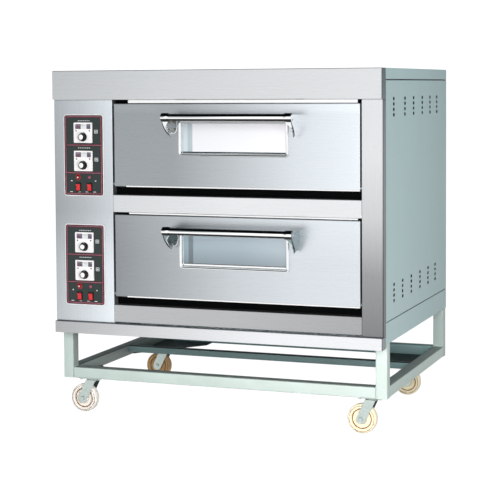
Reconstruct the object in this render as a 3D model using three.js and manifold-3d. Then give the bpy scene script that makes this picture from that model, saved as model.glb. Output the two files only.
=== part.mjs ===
// Two-deck electric bakery deck oven on a wheeled stand. Millimetres, +Z up, front towards -Y.
import * as THREE from "three";
import { mergeVertices } from "three/addons/utils/BufferGeometryUtils.js";
import Module from "manifold-3d";

const wasm = await Module();
wasm.setup();

// ---- Driving dimensions ----
const GAP = 0.3; // running and fitting clearance between separate pieces
const SHEET = 1.2; // stainless and painted sheet
const WIDTH = 1214; // across the painted side panels
const DEPTH = 885; // from the front edge of the side panels to the back panel
const HALF = WIDTH / 2;

// Heights above the floor
const RAIL_BOTTOM = 130;
const TUBE = 40; // square tube of the stand
const BASE_BOTTOM = 316;
const FASCIA_BOTTOM = 304;
const FASCIA_TOP = 346;
const LOWER_SEAM = 390; // base skirt to side panel
const LOWER_STRIP_TOP = 412;
const MIDDLE_STRIP = [741, 802];
const HEADER_BOTTOM = 1137;
const UPPER_SEAM = 1203; // side panel to top cover
const TOP = 1240;

// Front faces, measured forward of the side panels
const COLUMN_PROUD = 32;
const CANOPY_PROUD = 45;
const DOOR_PROUD = 34;

// Door opening and decks
const OPENING = [-378, 533];
const DOOR_X = [-371, 528];
const DOOR_HEIGHT = 292;
const LOWER_DOOR_BOTTOM = 441;
const DECK_PITCH = 390;
const DOOR_CENTRE_X = (DOOR_X[0] + DOOR_X[1]) / 2;
const DOOR_SKIN = 1.5;
const PIVOT_UP = 10; // hinge line above the door's lower edge
const PIVOT_Y = -DOOR_PROUD / 2;
const PIN_R = 5;

// Window, heights above the door's lower edge
const WINDOW_WIDTH = 402;
const WINDOW_HEIGHT = 126;
const WINDOW_UP = 172.5;
const WINDOW_RIM = 10;
const WINDOW_CORNER = 12;

// Handle
const HANDLE_UP = 246;
const HANDLE_Y = -110;
const HANDLE_R = 12.5;
const HANDLE_LENGTH = 464;
const HANDLE_SHIFT = 3;
const BRACKET = { x: 222, width: 26, socket: 15.5, wall: 4, top: 8, drop: 66, tip: 25, heel: 10 };

// Baking chamber, heights above the door's lower edge
const CHAMBER_X = [-351.5, 508.5];
const CHAMBER_BACK = 688.5;
const CHAMBER_FLOOR = -1.5;
const CHAMBER_CEILING = 234;
const DECK_PLATE_UP = 21;
const DECK_PLATE_THICK = 12;

// Controls, measured from the centre of each control plate
const PLATE_X = -490;
const PLATE_WIDTH = 157;
const PLATE_HEIGHT = 291;
const PLATE_CORNER = 12;
const PLATE_THICK = 3;
const PLATE_UP = 109.5; // plate centre above the door's lower edge
const THERMOSTAT_UP = [80, -20];
const KNOB_DROP = 15; // knob below the thermostat's centre
const LAMP_UP = -78;
const SWITCH_UP = -113;
const SWITCH_X = 22;

// Stand and casters
const STAND_HALF = HALF - 1;
const STAND_FRONT = 16;
const STAND_BACK = 880;
const CROSS_RAIL = { front: 478, size: 26 };
const SWIVEL_X = { front: { left: -511, right: 541 }, rear: { left: -510, right: 528 } };
const SWIVEL_Y = { front: 62, rear: 722 };
const TRAIL = 33;
const WHEEL_R = 51;
const AXLE_R = 6;
const MOUNT_BOTTOM = 126.2; // underside of the caster mounting plates
const CROWN_TOP = 119.7;
const CROWN_BOTTOM = 112;

// ---- Materials ----
function finish(color, roughness, metalness) {
  return new THREE.MeshStandardMaterial({ color, roughness, metalness });
}
const brushedSteel = finish(0xc9cccf, 0.35, 0.9);
const paintedSheet = finish(0xa8baba, 0.6, 0.2);
const paintedTube = finish(0xb9cdc4, 0.55, 0.2);
const chrome = finish(0xe4e6e8, 0.08, 1.0);
const linerSteel = finish(0x8c8a85, 0.5, 0.8);
const deckSteel = finish(0x4a4744, 0.7, 0.6);
const elementSheath = finish(0x3c3836, 0.6, 0.7);
const mineralWool = finish(0xd8cfae, 0.95, 0.0);
const plateEnamel = finish(0x26302f, 0.4, 0.1);
const whitePlastic = finish(0xf2f2f0, 0.35, 0.0);
const blackPlastic = finish(0x161616, 0.3, 0.0);
const redPlastic = finish(0xc01a22, 0.25, 0.0);
const lampRed = finish(0xd2323a, 0.15, 0.0);
const paleGlass = finish(0xdfe9ec, 0.05, 0.0);
const zincSteel = finish(0x9fb0ae, 0.45, 0.7);
const creamNylon = finish(0xeee0b8, 0.4, 0.0);
const glandNylon = finish(0x2b2b2b, 0.5, 0.0);

// ---- Geometry helpers ----
function solid(geometry) {
  geometry.deleteAttribute("normal");
  geometry.deleteAttribute("uv");
  const merged = mergeVertices(geometry, 1e-4);
  const mesh = new wasm.Mesh({
    numProp: 3,
    vertProperties: new Float32Array(merged.attributes.position.array),
    triVerts: new Uint32Array(merged.index.array),
  });
  return new wasm.Manifold(mesh);
}

function geometryOf(body) {
  const mesh = body.getMesh();
  const geometry = new THREE.BufferGeometry();
  geometry.setAttribute("position", new THREE.BufferAttribute(mesh.vertProperties, 3));
  geometry.setIndex(new THREE.BufferAttribute(mesh.triVerts, 1));
  geometry.computeVertexNormals();
  return geometry;
}

function box(x, y, z) {
  const geometry = new THREE.BoxGeometry(x[1] - x[0], y[1] - y[0], z[1] - z[0]);
  geometry.translate((x[0] + x[1]) / 2, (y[0] + y[1]) / 2, (z[0] + z[1]) / 2);
  return solid(geometry);
}

function around(centre, half) {
  return [centre - half, centre + half];
}

// A cylinder along one axis, from and to being its ends on that axis, a and b its centre on the others.
function rod(axis, radius, from, to, a, b, segments = 16) {
  const geometry = new THREE.CylinderGeometry(radius, radius, to - from, segments);
  const middle = (from + to) / 2;
  if (axis === "x") {
    geometry.rotateZ(-Math.PI / 2);
    geometry.translate(middle, a, b);
  } else if (axis === "y") {
    geometry.translate(a, middle, b);
  } else {
    geometry.rotateX(Math.PI / 2);
    geometry.translate(a, b, middle);
  }
  return solid(geometry);
}

function join(...bodies) {
  return bodies.reduce((all, body) => all.add(body));
}

function cut(body, ...holes) {
  return body.subtract(join(...holes));
}

// A folded sheet tray: a box hollowed from one side, leaving walls of the sheet's thickness.
function tray(x, y, z, open, thickness = SHEET) {
  const room = { x: [...x], y: [...y], z: [...z] };
  for (const axis of ["x", "y", "z"]) {
    const beyond = open[0] === axis ? 1 : -thickness;
    room[axis][0] -= open === axis + "-" ? beyond : -thickness;
    room[axis][1] += open === axis + "+" ? beyond : -thickness;
  }
  return cut(box(x, y, z), box(room.x, room.y, room.z));
}

// A rectangle with rounded corners about the origin.
function platePath(width, height, corner) {
  const shape = new THREE.Shape();
  const w = width / 2;
  const h = height / 2;
  shape.moveTo(-w + corner, -h);
  shape.lineTo(w - corner, -h);
  shape.absarc(w - corner, -h + corner, corner, -Math.PI / 2, 0, false);
  shape.lineTo(w, h - corner);
  shape.absarc(w - corner, h - corner, corner, 0, Math.PI / 2, false);
  shape.lineTo(-w + corner, h);
  shape.absarc(-w + corner, h - corner, corner, Math.PI / 2, Math.PI, false);
  shape.lineTo(-w, -h + corner);
  shape.absarc(-w + corner, -h + corner, corner, Math.PI, Math.PI * 1.5, false);
  return shape;
}

// An outline of x and z, extruded along Y and moved by the given x and z.
function extrudeY(shape, y, x = 0, z = 0) {
  const geometry = new THREE.ExtrudeGeometry(shape, {
    depth: y[1] - y[0],
    bevelEnabled: false,
    curveSegments: 4,
  });
  geometry.rotateX(Math.PI / 2);
  geometry.translate(x, y[1], z);
  return solid(geometry);
}

function roundedPlate(width, height, corner, y, x, z) {
  return extrudeY(platePath(width, height, corner), y, x, z);
}

// An outline of [x, y] points, extruded upwards.
function extrudeZ(points, z) {
  const shape = new THREE.Shape(points.map((p) => new THREE.Vector2(p[0], p[1])));
  const geometry = new THREE.ExtrudeGeometry(shape, { depth: z[1] - z[0], bevelEnabled: false });
  geometry.translate(0, 0, z[0]);
  return solid(geometry);
}

// An outline of [y, z] points, extruded along X.
function extrudeX(points, x) {
  const shape = new THREE.Shape(points.map((p) => new THREE.Vector2(p[0], p[1])));
  const geometry = new THREE.ExtrudeGeometry(shape, { depth: x[1] - x[0], bevelEnabled: false });
  geometry.applyMatrix4(new THREE.Matrix4().set(0, 0, 1, x[0], 1, 0, 0, 0, 0, 1, 0, 0, 0, 0, 0, 1));
  return solid(geometry);
}

// A ring or disc turned about the Y direction through (x, z), from [radius, y] points.
function turned(points, x, z, segments = 20) {
  const profile = points.map((p) => new THREE.Vector2(p[0], p[1]));
  const geometry = new THREE.LatheGeometry(profile, segments);
  geometry.translate(x, 0, z);
  return solid(geometry);
}

const group = new THREE.Group();

function addNode(name, body, material) {
  const mesh = new THREE.Mesh(geometryOf(body), material);
  mesh.name = name;
  group.add(mesh);
}

const decks = [
  { name: "upper", bottom: LOWER_DOOR_BOTTOM + DECK_PITCH },
  { name: "lower", bottom: LOWER_DOOR_BOTTOM },
];

// ---- Stand ----
const POST_WALL = 2;
const RAIL_Z = [RAIL_BOTTOM, RAIL_BOTTOM + TUBE];
const inner = STAND_HALF - TUBE; // inner faces of the posts and side rails
const frontInner = STAND_FRONT + TUBE;
const backInner = STAND_BACK - TUBE;
const edge = inner - GAP; // ends of whatever fits between the side rails

function within(span, wall) {
  return [span[0] + wall, span[1] - wall];
}

function beyond(span) {
  return [span[0] - 1, span[1] + 1];
}

function post(x, y) {
  const z = [RAIL_BOTTOM, BASE_BOTTOM - GAP];
  return cut(box(x, y, z), box(within(x, POST_WALL), within(y, POST_WALL), beyond(z)));
}

function railX(x, y, z) {
  return cut(box(x, y, z), box(beyond(x), within(y, POST_WALL), within(z, POST_WALL)));
}

function railY(x, y, z) {
  return cut(box(x, y, z), box(within(x, POST_WALL), beyond(y), within(z, POST_WALL)));
}

const postX = { left: [-STAND_HALF, -inner], right: [inner, STAND_HALF] };
const postY = { front: [STAND_FRONT, frontInner], rear: [backInner, STAND_BACK] };

for (const end of ["front", "rear"]) {
  for (const side of ["left", "right"]) {
    addNode(`stand_post_${end}_${side}`, post(postX[side], postY[end]), paintedTube);
  }
}

const sideRailY = [frontInner + GAP, backInner - GAP];
for (const side of ["left", "right"]) {
  addNode(`stand_rail_${side}`, railY(postX[side], sideRailY, RAIL_Z), paintedTube);
}

// The caster's fixed half: mounting plate, upper race and kingpin.
const MOUNT_TOP = RAIL_BOTTOM - GAP;
const KINGPIN_R = 6;

function casterMount(x, y) {
  const plate = box(around(x, 46), around(y, 34), [MOUNT_BOTTOM, MOUNT_TOP]);
  const race = rod("z", 24, CROWN_TOP + GAP, MOUNT_BOTTOM + 1, x, y, 20);
  const kingpin = rod("z", KINGPIN_R, CROWN_BOTTOM - 5, MOUNT_BOTTOM, x, y, 16);
  return join(plate, race, kingpin);
}

// A rail across the stand with a plate welded to it at each end, which carries the casters.
function casterRail(end, plate) {
  const rail = railX([-edge, edge], postY[end], RAIL_Z);
  const mounts = [SWIVEL_X[end].left, SWIVEL_X[end].right].map((x) => casterMount(x, SWIVEL_Y[end]));
  return join(rail, plate(-1), plate(1), ...mounts);
}

const PLATE_Z = [MOUNT_TOP - 0.5, RAIL_BOTTOM + 4];
const GUSSET = { alongRail: 155, alongSide: 190, end: 2 };
const REAR_PLATE = { alongRail: 207, alongSide: 320, end: 58 };

// A corner plate lapping the rail at y, with its slanted edge running out to the side rail.
function cornerPlate(sign, y, size, towards) {
  const points = [
    [sign * edge, y],
    [sign * (edge - size.alongRail), y],
    [sign * (edge - size.alongRail), y + towards * size.end],
    [sign * edge, y + towards * size.alongSide],
  ];
  return extrudeZ(points, PLATE_Z);
}

function frontGusset(sign) {
  return cornerPlate(sign, frontInner - POST_WALL / 2, GUSSET, 1);
}

function rearPlate(sign) {
  return cornerPlate(sign, backInner + POST_WALL / 2, REAR_PLATE, -1);
}

addNode("stand_rail_front", casterRail("front", frontGusset), paintedTube);
addNode("stand_rail_rear", casterRail("rear", rearPlate), paintedTube);

const crossY = [CROSS_RAIL.front, CROSS_RAIL.front + CROSS_RAIL.size];
const crossZ = [RAIL_Z[1] - CROSS_RAIL.size, RAIL_Z[1]];
addNode("stand_cross_rail", railX([-edge, edge], crossY, crossZ), paintedTube);

// ---- Casters ----
const FORK = { inside: 21, plate: 3, foot: 17 };
const AXLE_HEAD = { radius: 9, thick: 6 };
const WHEEL_HALF = 16;
const HUB_HALF = 19;

// A leg of even width running down and back from the crown to a round foot about the axle.
function forkLeg(x, y) {
  const slant = Math.atan2(TRAIL, CROWN_TOP - WHEEL_R);
  const half = FORK.foot / Math.cos(slant);
  const shape = new THREE.Shape();
  shape.moveTo(-half, CROWN_TOP);
  shape.absarc(-TRAIL, WHEEL_R, FORK.foot, Math.PI - slant, 2 * Math.PI - slant, false);
  shape.lineTo(half, CROWN_TOP);
  return extrudeY(shape, y, x, 0);
}

function casterFork(x, y) {
  const reach = FORK.inside + FORK.plate;
  const legs = [forkLeg(x, [y - reach, y - FORK.inside]), forkLeg(x, [y + FORK.inside, y + reach])];
  const crown = box(around(x, FORK.foot), around(y, reach), [CROWN_BOTTOM, CROWN_TOP]);
  const axle = x - TRAIL;
  const end = reach + AXLE_HEAD.thick;
  const bolt = rod("y", AXLE_R, y - end, y + end, axle, WHEEL_R, 12);
  const head = rod("y", AXLE_HEAD.radius, y - end, y - reach + 1, axle, WHEEL_R, 6);
  const nut = rod("y", AXLE_HEAD.radius, y + reach - 1, y + end, axle, WHEEL_R, 6);
  const kingpinHole = rod("z", KINGPIN_R + GAP, CROWN_BOTTOM - 1, CROWN_TOP + 1, x, y, 16);
  return cut(join(crown, ...legs, bolt, head, nut), kingpinHole);
}

// Half of the wheel's section, from the bore out over the hub, the dished web and the rim.
const WEB_HALF = 10;
const wheelSection = [
  [AXLE_R + GAP, HUB_HALF],
  [15, HUB_HALF],
  [19, WEB_HALF],
  [33, WEB_HALF],
  [38, WHEEL_HALF],
  [46, WHEEL_HALF],
  [WHEEL_R, WEB_HALF],
];

function casterWheel(x, y) {
  const lower = wheelSection.map(([radius, out]) => [radius, -out]);
  const profile = [...lower, ...wheelSection.toReversed(), lower[0]];
  return turned(profile, x - TRAIL, WHEEL_R).translate(0, y, 0);
}

for (const end of ["front", "rear"]) {
  for (const side of ["left", "right"]) {
    const place = [SWIVEL_X[end][side], SWIVEL_Y[end]];
    addNode(`caster_fork_${end}_${side}`, casterFork(...place), zincSteel);
    addNode(`caster_wheel_${end}_${side}`, casterWheel(...place), creamNylon);
  }
}

// ---- Body shell ----
const SHELL_Y = [GAP, DEPTH];
addNode("base_pan", tray([-HALF, HALF], SHELL_Y, [BASE_BOTTOM, LOWER_SEAM - GAP], "z+"), paintedSheet);
addNode("top_cover", tray([-HALF, HALF], SHELL_Y, [UPPER_SEAM, TOP], "z-"), paintedSheet);

const VENT = { length: 20, height: 10, rows: 4, pitch: 18.2 };
const VENT_GROUPS = [
  { top: 1137, columns: [104, 253, 375, 501, 619, 726] },
  { top: 507, columns: [106, 222, 342, 468, 590, 703] },
];

// Short level slots with pointed ends, in two groups one above the other.
function vents(x) {
  const half = VENT.length / 2;
  const up = VENT.height / 2;
  const slot = [
    [-half, 0],
    [up - half, -up],
    [half - up, -up],
    [half, 0],
    [half - up, up],
    [up - half, up],
  ];
  const holes = [];
  for (const { top, columns } of VENT_GROUPS) {
    for (const y of columns) {
      for (let row = 0; row < VENT.rows; row++) {
        holes.push(extrudeX(slot, around(x, 3)).translate(0, y, top - row * VENT.pitch));
      }
    }
  }
  return holes;
}

const FLANGE = 20;
const PANEL_Z = [LOWER_SEAM, UPPER_SEAM - GAP];
const rightPanel = tray([HALF - FLANGE, HALF], SHELL_Y, PANEL_Z, "x-");
const leftPanel = tray([-HALF, -HALF + FLANGE], SHELL_Y, PANEL_Z, "x+");
addNode("side_panel_right", cut(rightPanel, ...vents(HALF)), paintedSheet);
addNode("side_panel_left", cut(leftPanel, ...vents(-HALF)), paintedSheet);

const GLAND = { x: -480, z: 430, bore: 7, body: 13, flange: 19, out: 22 };
const backZ = [LOWER_SEAM + GAP, UPPER_SEAM - GAP];
const backSheet = box(around(0, HALF - FLANGE - GAP), [DEPTH - SHEET, DEPTH], backZ);
const glandHole = rod("y", GLAND.body + GAP, DEPTH - 5, DEPTH + 5, GLAND.x, GLAND.z, 16);
addNode("back_panel", cut(backSheet, glandHole), paintedSheet);

const glandProfile = [
  [GLAND.bore, DEPTH - 18],
  [GLAND.body, DEPTH - 18],
  [GLAND.body, DEPTH + GAP],
  [GLAND.flange, DEPTH + GAP],
  [GLAND.flange, DEPTH + 8],
  [GLAND.body + 1, DEPTH + 10],
  [GLAND.bore + 2, DEPTH + GLAND.out],
  [GLAND.bore, DEPTH + GLAND.out],
  [GLAND.bore, DEPTH - 18],
];
addNode("cable_gland", turned(glandProfile, GLAND.x, GLAND.z, 16), glandNylon);

// ---- Stainless front ----
const CANOPY_Y = [-CANOPY_PROUD, 0];
const COLUMN_Y = [-COLUMN_PROUD, 0];
const COLUMN_Z = [FASCIA_TOP, HEADER_BOTTOM - GAP];
const STRIP_X = [OPENING[0] + GAP, OPENING[1] - GAP];
addNode("header_canopy", tray([-HALF, HALF], CANOPY_Y, [HEADER_BOTTOM, TOP], "y+"), brushedSteel);
const fasciaZ = [FASCIA_BOTTOM, FASCIA_TOP - GAP];
addNode("bottom_fascia", tray([-HALF, HALF], CANOPY_Y, fasciaZ, "y+"), brushedSteel);
addNode("middle_fascia", tray(STRIP_X, COLUMN_Y, MIDDLE_STRIP, "y+"), brushedSteel);
addNode("lower_fascia", tray(STRIP_X, COLUMN_Y, [FASCIA_TOP, LOWER_STRIP_TOP], "y+"), brushedSteel);

const pivotHoles = decks.map((deck) => {
  const z = deck.bottom + PIVOT_UP;
  return [
    rod("x", PIN_R + GAP, OPENING[0] - 6, OPENING[0] + 3, PIVOT_Y, z),
    rod("x", PIN_R + GAP, OPENING[1] - 3, OPENING[1] + 6, PIVOT_Y, z),
  ];
});
const rightColumn = tray([OPENING[1], HALF], COLUMN_Y, COLUMN_Z, "y+");
addNode("right_column", cut(rightColumn, ...pivotHoles.map((pair) => pair[1])), brushedSteel);

const THERMOSTAT = { size: 72, body: 64, depth: 62, bezel: 4, corner: 2 };
const LAMP = { left: 8.5, right: 5.5 };
const SWITCH = { width: 15, height: 23, hole: [16, 28], rim: [21, 33], rimProud: 2 };

// Openings for what passes through a control plate, larger by the given margin.
function controlCuts(deck, y, margin) {
  const z = deck.bottom + PLATE_UP;
  const cuts = THERMOSTAT_UP.map((up) => {
    const half = THERMOSTAT.body / 2 + margin;
    return box(around(PLATE_X, half), y, around(z + up, half));
  });
  for (const side of [-1, 1]) {
    const x = PLATE_X + side * SWITCH_X;
    const lampR = side < 0 ? LAMP.left : LAMP.right;
    const holeX = around(x, SWITCH.hole[0] / 2 + margin);
    const holeZ = around(z + SWITCH_UP, SWITCH.hole[1] / 2 + margin);
    cuts.push(box(holeX, y, holeZ), rod("y", lampR + margin, y[0], y[1], x, z + LAMP_UP, 16));
  }
  return cuts;
}

const controlColumn = tray([-HALF, OPENING[0]], COLUMN_Y, COLUMN_Z, "y+");
const columnCuts = decks.flatMap((deck) => controlCuts(deck, around(-COLUMN_PROUD, 3), 1));
columnCuts.push(...pivotHoles.map((pair) => pair[0]));
addNode("control_column", cut(controlColumn, ...columnCuts), brushedSteel);

// ---- Controls ----
const PLATE_BACK = -COLUMN_PROUD - GAP;
const PLATE_FRONT = PLATE_BACK - PLATE_THICK;

// The enamelled plate with a raised rim round each switch opening.
function controlPlate(deck) {
  const z = deck.bottom + PLATE_UP;
  const thick = [PLATE_FRONT, PLATE_BACK];
  const sheet = roundedPlate(PLATE_WIDTH, PLATE_HEIGHT, PLATE_CORNER, thick, PLATE_X, z);
  const rimY = [PLATE_FRONT - SWITCH.rimProud, PLATE_FRONT + 1];
  const rims = [-1, 1].map((side) => {
    const x = PLATE_X + side * SWITCH_X;
    return box(around(x, SWITCH.rim[0] / 2), rimY, around(z + SWITCH_UP, SWITCH.rim[1] / 2));
  });
  return cut(join(sheet, ...rims), ...controlCuts(deck, [rimY[0] - 1, PLATE_BACK + 1], GAP));
}

const BEZEL_BACK = PLATE_FRONT - GAP;
const BEZEL_FRONT = BEZEL_BACK - THERMOSTAT.bezel;
const BEZEL_Y = [BEZEL_FRONT, BEZEL_BACK];
const SHAFT = { radius: 3, length: 12 };
const SCALE = { half: [30, 8.5], up: 22, deep: 2 };

// A panel controller: bezel, body behind the plate, shaft socket and a sunken scale strip.
function thermostat(z) {
  const { size, body, depth, corner } = THERMOSTAT;
  const bezel = roundedPlate(size, size, corner, BEZEL_Y, PLATE_X, z);
  const blockY = [BEZEL_BACK - 1, BEZEL_BACK + depth];
  const block = box(around(PLATE_X, body / 2), blockY, around(z, body / 2));
  const socketY = [BEZEL_FRONT - 1, BEZEL_FRONT + SHAFT.length + 2];
  const socket = rod("y", SHAFT.radius + GAP, ...socketY, PLATE_X, z - KNOB_DROP, 12);
  const scaleY = [BEZEL_FRONT - 1, BEZEL_FRONT + SCALE.deep];
  const scale = box(around(PLATE_X, SCALE.half[0]), scaleY, around(z + SCALE.up, SCALE.half[1]));
  return cut(join(bezel, block), socket, scale);
}

const KNOB = { depth: 17, front: 10, grip: 12.5, skirt: 16 };

function knob(z) {
  const back = BEZEL_FRONT - GAP;
  const front = back - KNOB.depth;
  const profile = [
    [0, front],
    [KNOB.front, front],
    [KNOB.front + 1.5, front + 1.5],
    [KNOB.grip, back - 4],
    [KNOB.skirt, back - 3],
    [KNOB.skirt, back],
    [SHAFT.radius, back],
    [SHAFT.radius, back + SHAFT.length],
    [0, back + SHAFT.length],
  ];
  return turned(profile, PLATE_X, z - KNOB_DROP, 16);
}

// The rocker is drawn level and tipped to its off position about its pivot.
const ROCKER_TILT = THREE.MathUtils.degToRad(8);
const ROCKER_PIVOT_Y = PLATE_FRONT + 1;
const ROCKER_DEPTH = { ends: 7, waist: 4.5 };

function rocker(x, z) {
  const half = SWITCH.height / 2;
  const points = [
    [0, -half],
    [0, half],
    [-ROCKER_DEPTH.ends, half],
    [-ROCKER_DEPTH.waist, 0],
    [-ROCKER_DEPTH.ends, -half],
  ];
  const tipped = points.map(([y, up]) => [
    ROCKER_PIVOT_Y + y * Math.cos(ROCKER_TILT) - up * Math.sin(ROCKER_TILT),
    z + y * Math.sin(ROCKER_TILT) + up * Math.cos(ROCKER_TILT),
  ]);
  return extrudeX(tipped, around(x, SWITCH.width / 2));
}

const HOLDER = { half: [36, 9], front: -COLUMN_PROUD + 5, back: -COLUMN_PROUD + 12 };
const LENS_PROUD = 6;

// Two domed lenses on a common holder behind the column's front.
function lampModule(deck) {
  const z = deck.bottom + PLATE_UP + LAMP_UP;
  const holderY = [HOLDER.front, HOLDER.back];
  const holder = box(around(PLATE_X, HOLDER.half[0]), holderY, around(z, HOLDER.half[1]));
  const lenses = [-1, 1].map((side) => {
    const r = side < 0 ? LAMP.left : LAMP.right;
    const profile = [
      [0, PLATE_FRONT - LENS_PROUD],
      [r * 0.6, PLATE_FRONT - LENS_PROUD * 0.8],
      [r, PLATE_FRONT - 1],
      [r, HOLDER.front + 1],
      [0, HOLDER.front + 1],
    ];
    return turned(profile, PLATE_X + side * SWITCH_X, z, 16);
  });
  return join(holder, ...lenses);
}

for (const deck of decks) {
  const z = deck.bottom + PLATE_UP;
  addNode(`control_plate_${deck.name}`, controlPlate(deck), plateEnamel);
  THERMOSTAT_UP.forEach((up, i) => {
    const which = `${deck.name}_${i === 0 ? "top" : "bottom"}`;
    addNode(`thermostat_${which}`, thermostat(z + up), whitePlastic);
    addNode(`thermostat_knob_${which}`, knob(z + up), blackPlastic);
  });
  for (const side of [-1, 1]) {
    const which = `${deck.name}_${side < 0 ? "left" : "right"}`;
    addNode(`rocker_switch_${which}`, rocker(PLATE_X + side * SWITCH_X, z + SWITCH_UP), redPlastic);
  }
  addNode(`indicator_lamps_${deck.name}`, lampModule(deck), lampRed);
}

// ---- Baking chambers ----
const LINER_WALL = 1.5;
const LINER_FRONT = 3;
const LEDGE = 20;
const ELEMENT = { radius: 4, runs: 5, front: 70, back: 560, x: [-307, 464], up: 220 };
const TERMINAL_X = [-332, 489];

function chamberLiner(deck) {
  const floor = deck.bottom + CHAMBER_FLOOR;
  const ceiling = deck.bottom + CHAMBER_CEILING + 10;
  const x = [CHAMBER_X[0] - LINER_WALL, CHAMBER_X[1] + LINER_WALL];
  const y = [LINER_FRONT, CHAMBER_BACK + LINER_WALL];
  const shell = tray(x, y, [floor, ceiling], "y-", LINER_WALL);
  const frameZ = [deck.bottom - 27, deck.bottom + DOOR_HEIGHT + 7];
  const frame = box([OPENING[0] + 1, OPENING[1] - 1], [LINER_FRONT, LINER_FRONT + LINER_WALL], frameZ);
  const mouth = box(CHAMBER_X, [0, 10], [floor + LINER_WALL, ceiling - LINER_WALL]);
  const ledges = [-1, 1].map((side) => {
    const wall = side < 0 ? CHAMBER_X[0] : CHAMBER_X[1];
    const span = side < 0 ? [wall - 1, wall + LEDGE] : [wall - LEDGE, wall + 1];
    return box(span, [20, CHAMBER_BACK - 20], around(deck.bottom + DECK_PLATE_UP - 2, 1.5));
  });
  const terminals = TERMINAL_X.map((tx) => {
    const z = deck.bottom + ELEMENT.up;
    return rod("y", ELEMENT.radius + GAP, CHAMBER_BACK - 5, CHAMBER_BACK + 5, tx, z, 12);
  });
  return cut(join(shell, cut(frame, mouth), ...ledges), ...terminals);
}

function deckPlate(deck) {
  const z = deck.bottom + DECK_PLATE_UP;
  const x = [CHAMBER_X[0] + 4, CHAMBER_X[1] - 4];
  return box(x, [14, CHAMBER_BACK - 8], [z, z + DECK_PLATE_THICK]);
}

// A tube's route through a list of stations, turning a little at each one.
class Route extends THREE.Curve {
  constructor(stations) {
    super();
    this.stations = stations;
  }
  getPoint(t) {
    const place = t * (this.stations.length - 1);
    const i = Math.min(Math.floor(place), this.stations.length - 2);
    return this.stations[i].clone().lerp(this.stations[i + 1], place - i);
  }
  getPointAt(t) {
    return this.getPoint(t);
  }
  getTangentAt(t) {
    const step = 1 / (this.stations.length - 1);
    const ahead = this.getPoint(Math.min(t + step, 1));
    return ahead.sub(this.getPoint(Math.max(t - step, 0))).normalize();
  }
}

function arc(cx, cy, radius, from, to, steps) {
  const points = [];
  for (let i = 0; i <= steps; i++) {
    const angle = from + ((to - from) * i) / steps;
    points.push([cx + radius * Math.cos(angle), cy + radius * Math.sin(angle)]);
  }
  return points;
}

function tube(points, z, radius, sides) {
  const section = new THREE.Shape(arc(0, 0, radius, 0, Math.PI * 2 * (1 - 1 / sides), sides - 1)
    .map(([x, y]) => new THREE.Vector2(x, y)));
  const route = new Route(points.map(([x, y]) => new THREE.Vector3(x, y, z)));
  const geometry = new THREE.ExtrudeGeometry(section, {
    steps: points.length - 1,
    extrudePath: route,
    bevelEnabled: false,
  });
  return solid(geometry);
}

// A sheathed heating tube laid to and fro across the chamber, both ends leaving through the back wall.
function heatingElement(deck) {
  const pitch = (ELEMENT.back - ELEMENT.front) / (ELEMENT.runs - 1);
  const r = pitch / 2;
  const [left, right] = ELEMENT.x;
  const end = CHAMBER_BACK + 1;
  const quarter = Math.PI / 2;
  const points = [[TERMINAL_X[0], end]];
  points.push(...arc(TERMINAL_X[0] + r, ELEMENT.front + r, r, 2 * quarter, 3 * quarter, 4));
  for (let run = 0; run < ELEMENT.runs - 1; run++) {
    const y = ELEMENT.front + run * pitch + r;
    if (run % 2 === 0) points.push(...arc(right - r, y, r, -quarter, quarter, 8));
    else points.push(...arc(left + r, y, r, -quarter, -3 * quarter, 8));
  }
  points.push(...arc(TERMINAL_X[1] - r, ELEMENT.back + r, r, -quarter, 0, 4));
  points.push([TERMINAL_X[1], end]);
  return tube(points, deck.bottom + ELEMENT.up, ELEMENT.radius, 6);
}

for (const deck of decks) {
  addNode(`chamber_liner_${deck.name}`, chamberLiner(deck), linerSteel);
  addNode(`deck_plate_${deck.name}`, deckPlate(deck), deckSteel);
  addNode(`heating_element_${deck.name}`, heatingElement(deck), elementSheath);
}

// Mineral wool packed round both chambers.
const WOOL = { x: [OPENING[0] + 3, HALF - FLANGE - 3], y: [8, 780], z: [340, 1190], clear: 2 };
const pockets = decks.map((deck) => {
  const grow = LINER_WALL + WOOL.clear;
  const x = [CHAMBER_X[0] - grow, CHAMBER_X[1] + grow];
  const floor = deck.bottom + CHAMBER_FLOOR - WOOL.clear;
  const ceiling = deck.bottom + CHAMBER_CEILING + 10 + WOOL.clear;
  return box(x, [0, CHAMBER_BACK + grow], [floor, ceiling]);
});
addNode("insulation", cut(box(WOOL.x, WOOL.y, WOOL.z), ...pockets), mineralWool);

// ---- Doors ----
const DOOR_Y = [-DOOR_PROUD, -1];
const FRAME_PROUD = 7;
const SLEEVE = 2;
const SLEEVE_CORNER = 10;

function windowPlace(deck) {
  return [DOOR_CENTRE_X, deck.bottom + WINDOW_UP];
}

const PASSAGE_WIDTH = WINDOW_WIDTH - 2 * WINDOW_RIM + 2 * SLEEVE + 2 * GAP;
const PASSAGE_HEIGHT = WINDOW_HEIGHT - 2 * WINDOW_RIM + 2 * SLEEVE + 2 * GAP;
const DRAINS = [-300, 0, 300];

function passage(margin, y, deck) {
  const width = PASSAGE_WIDTH + 2 * margin;
  const height = PASSAGE_HEIGHT + 2 * margin;
  return roundedPlate(width, height, SLEEVE_CORNER, y, ...windowPlace(deck));
}

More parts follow.
